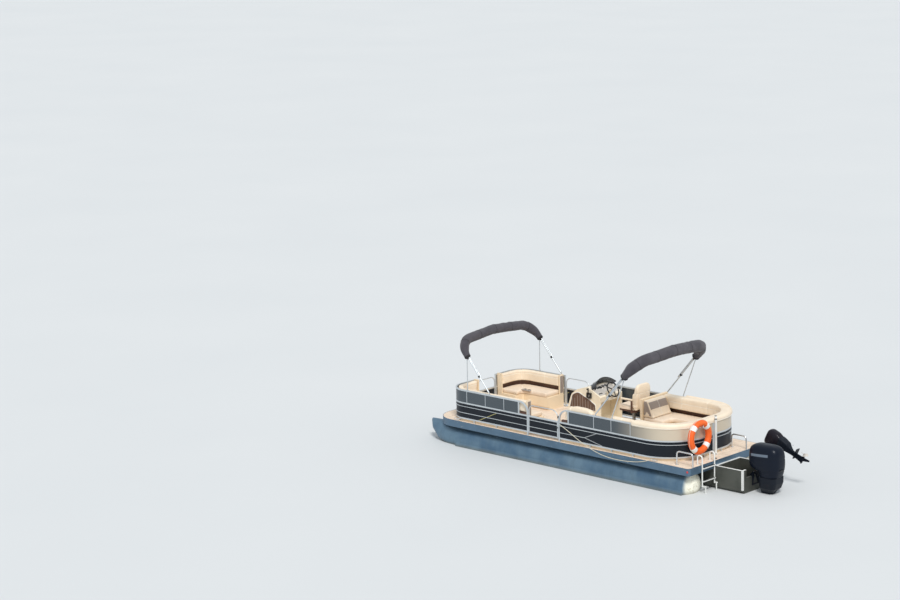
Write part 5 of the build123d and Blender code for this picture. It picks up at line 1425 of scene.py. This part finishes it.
# Steps of the ladder: name, body, first x, spacing, number of grips, y range and the steps' heights
LADDER_STEPS = (
    ("upper", "hull", -3.757, 0.0115, 4, (0.475, 0.855), (0.530, 0.250)),
    ("lower", "ladder", -3.797, 0.0125, 5, (0.505, 0.825), (-0.070, -0.310)),
)


def deck_fasteners():
    """Screws of the cleats, the ladder, the socket and the light's foot, and the handles' flanges."""
    screws = [((x + dx, y, 0.6065), UP) for x, y in CLEATS for dx in (-0.036, 0.036)]
    screws += [((-3.60 + dx, y, 0.6065), UP) for y in (0.455, 0.875) for dx in (-0.024, 0.024)]
    for turn in range(4):
        angle = math.radians(45 + 90 * turn)
        out = Vector((math.cos(angle), math.sin(angle), 0.0))
        screws.append((Vector((*SOCKET, 0.6045)) + out * 0.030, UP))
        screws.append((Vector((LIGHT_X, 0.0, 0.6085)) + out * 0.032, UP))
    heads("deck_screws", screws, 0.0048, "hull", "stainless")
    flanges = ((-3.68, 1.14, 0.0185), (-3.26, 1.14, 0.034), (-3.68, -0.71, 0.0185), (-3.30, -0.71, 0.034))
    knobs("handle_flanges", [((x, y, 0.603), UP, r, 0.0055, r - 0.002, 28) for x, y, r in flanges], "hull",
          "stainless")


def step_grips():
    """Rubber ribs on the ladder's steps."""
    for name, body, x0, pitch, count, (low_y, high_y), heights in LADDER_STEPS:
        ribs = [((x0 + pitch * k, low_y, z + 0.0121), (x0 + 0.007 + pitch * k, high_y, z + 0.0145))
                for z in heights for k in range(count)]
        slabs(name + "_step_grips", ribs, 0.0008, body, "black_plastic")


def ring_dress():
    """The life ring's four white bands, and a line snug round the outside."""
    bm = bmesh.new()
    for number in range(4):
        turns = [math.radians(45 + 90 * number + 10 * (step / 4 - 1.0)) for step in range(9)]
        line = [RING_CENTRE + Vector((0.0, math.cos(a), math.sin(a))) * RING_RADIUS for a in turns]
        skin, _ = sleeve(line, lambda along, angle, length: 0.0714, 36, FORWARD)
        join(bm, skin)
    piece("ring_bands", bm, "hull", "ring_orange", "white_plastic")
    line = []
    for step in range(96):
        angle = math.tau * step / 96
        slack = 0.003 * (1 - math.cos(4 * (angle - math.radians(45))))
        out = Vector((0.0, math.cos(angle), math.sin(angle)))
        line.append(RING_CENTRE + out * (RING_RADIUS + 0.0745) + AFT * slack)
    tubes("ring_grab_line", [(line, True)], 0.0045, "hull", "rope_fibre", None, 2)


def light_dress():
    """The stern light's lens between two dark rings, and the ring at its foot."""
    knobs("light_rings", [((LIGHT_X, 0.0, 1.372), UP, 0.0285, 0.012, 0.0285, 32),
                          ((LIGHT_X, 0.0, 1.444), UP, 0.0285, 0.012, 0.024, 32),
                          ((LIGHT_X, 0.0, 0.614), UP, 0.030, 0.012, 0.0275, 32)], "hull", "black_plastic")
    knobs("light_lens", [((LIGHT_X, 0.0, 1.408), UP, 0.0275, 0.058, 0.0275, 32)], "hull", "white_metal",
          "white_plastic", smooth=True)


def pod_dress():
    """The pod's pale flange, strips at its aft corners and screws, and two hoses to the motor."""
    high = POD_TOP + 0.006
    strips = [((-3.758, -0.394, POD_TOP), (POD_FRONT, 0.394, high))]
    for side in (1, -1):
        for x0, x1, near, far, z0, z1 in ((POD_AFT, POD_FRONT, 0.394, 0.436, POD_TOP, high),
                                          (POD_AFT, -4.400, 0.304, 0.394, POD_TOP, high),
                                          (-4.446, -4.4402, 0.394, 0.434, 0.075, 0.506),
                                          (-4.438, -4.405, 0.4302, 0.4352, 0.075, 0.498)):
            low_y, high_y = sorted((side * near, side * far))
            strips.append(((x0, low_y, z0), (x1, high_y, z1)))
    slabs("pod_flange", strips, 0.0012, "hull", "white_metal")
    screws = [((-4.38 + 0.128 * step, side * 0.416, 0.5065), UP) for step in range(6) for side in (1, -1)]
    heads("pod_screws", screws, 0.005, "hull", "stainless")
    hoses = []
    for y in (0.13, 0.17):
        corners = [(-3.765, y, 0.40), (-3.90, y, 0.34), (-4.05, y * 0.8, 0.20), (-4.22, y * 0.7, 0.16),
                   (-4.30, y * 0.6, 0.14)]
        hoses.append((spaced(fillets(corners, (0.06, 0.08, 0.08), 6), 0.02), False))
    tubes("well_hoses", hoses, 0.012, "hull", "black_plastic", None, 3)


def corner_fitting():
    """The red fitting at the port stern corner."""
    knobs("corner_fitting", [((-3.655, DECK_SIDE + 0.0065, 0.53), (0, 1, 0), 0.026, 0.013, 0.020, 28)], "hull",
          "white_metal", "red_plastic", smooth=True, ease=0.002)


def end_inserts():
    """Ribbed inserts with pale edges on the gate ends of the bow lounges."""
    plates, edges, ribs = [], [], []
    for x, side in ((0.870, 1), (1.900, -1)):
        low_y, high_y = sorted((side * 1.085, side * 1.190))
        plates.append(((x - 0.0016, low_y, 0.93), (x - 0.0002, high_y, 1.33)))
        corners = ((low_y, 0.93), (high_y, 0.93), (high_y, 1.33), (low_y, 1.33))
        edges.append(([Vector((x - 0.001, y, z)) for y, z in corners], True))
        for step in range(1, 6):
            y = low_y + (high_y - low_y) * step / 6
            ribs.append(([Vector((x - 0.001, y, 0.94)), Vector((x - 0.001, y, 1.32))], False))
    slabs("end_inserts", plates, 0.0003, "hull", "seat_shell", "taupe_vinyl")
    tubes("end_insert_edges", edges, 0.002, "hull", "seat_shell", "white_vinyl", 1)
    tubes("end_insert_ribs", ribs, 0.0016, "hull", "seat_shell", "brown_vinyl", 1)


def tube_welds():
    """Weld beads round the hull tubes."""
    beads = []
    for side in (1, -1):
        for x in (-2.28, -0.96, 0.36, 1.68, 2.98):
            centre = Vector((x, side * TUBE_Y, TUBE_Z))
            beads.append((circle(centre, TUBE_RADIUS + 0.0003, Vector((0.0, 1.0, 0.0)), UP, 72), True))
    tubes("tube_welds", beads, 0.0032, "hull", "hull_metal", None, 1)


deck_fasteners()
step_grips()
ring_dress()
light_dress()
pod_dress()
corner_fitting()
end_inserts()
tube_welds()


# Camera, light and floor


def set_camera():
    """The photograph's view: 219 degrees round, looking down 11.6 degrees, rolled 1.4 degrees."""
    pitch = math.radians(11.557)
    roll = math.radians(-1.448)
    ahead = Vector((0.6913 * math.cos(pitch), -0.7226 * math.cos(pitch), -math.sin(pitch)))
    right = ahead.cross(Vector((0.0, 0.0, 1.0))).normalized()
    up = right.cross(ahead)
    turned_right = right * math.cos(roll) + up * math.sin(roll)
    turned_up = up * math.cos(roll) - right * math.sin(roll)
    data = bpy.data.cameras.new("photo_camera")
    data.lens = 98.75
    data.clip_end = 2000.0
    camera = linked("photo_camera", data)
    turn = Matrix((turned_right, turned_up, -ahead)).transposed().to_4x4()
    camera.matrix_world = Matrix.Translation((-34.46, 40.51, 14.47)) @ turn
    bpy.context.scene.camera = camera


def set_light():
    """A broad soft key from aft and port with an even sky."""
    sun = bpy.data.lights.new("key", "SUN")
    sun.energy = 2.35
    sun.angle = math.radians(14.0)
    sun.color = (1.0, 0.975, 0.94)
    key = linked("key", sun)
    key.rotation_euler = Vector((0.62, -0.5, -1.0)).to_track_quat("-Z", "Y").to_euler()
    world = bpy.data.worlds.new("studio")
    world.use_nodes = True
    bpy.context.scene.world = world
    back = world.node_tree.nodes["Background"]
    back.inputs["Color"].default_value = (0.90, 0.95, 1.0, 1.0)
    back.inputs["Strength"].default_value = 0.68


def set_floor():
    """A plain pale floor at the waterline."""
    look = Look("pale_floor")
    cloud = look.grain(6.0, 3.0)
    look.show(look.mix(cloud, (0.62, 0.645, 0.66), (0.66, 0.68, 0.69)), 0.75)
    bm = bmesh.new()
    bmesh.ops.create_grid(bm, x_segments=8, y_segments=8, size=400.0)
    mesh = bpy.data.meshes.new("floor")
    bm.to_mesh(mesh)
    bm.free()
    mesh.materials.append(look.material)
    floor = linked("floor", mesh)


set_camera()
set_light()
set_floor()
bpy.context.scene.view_settings.view_transform = "Standard"
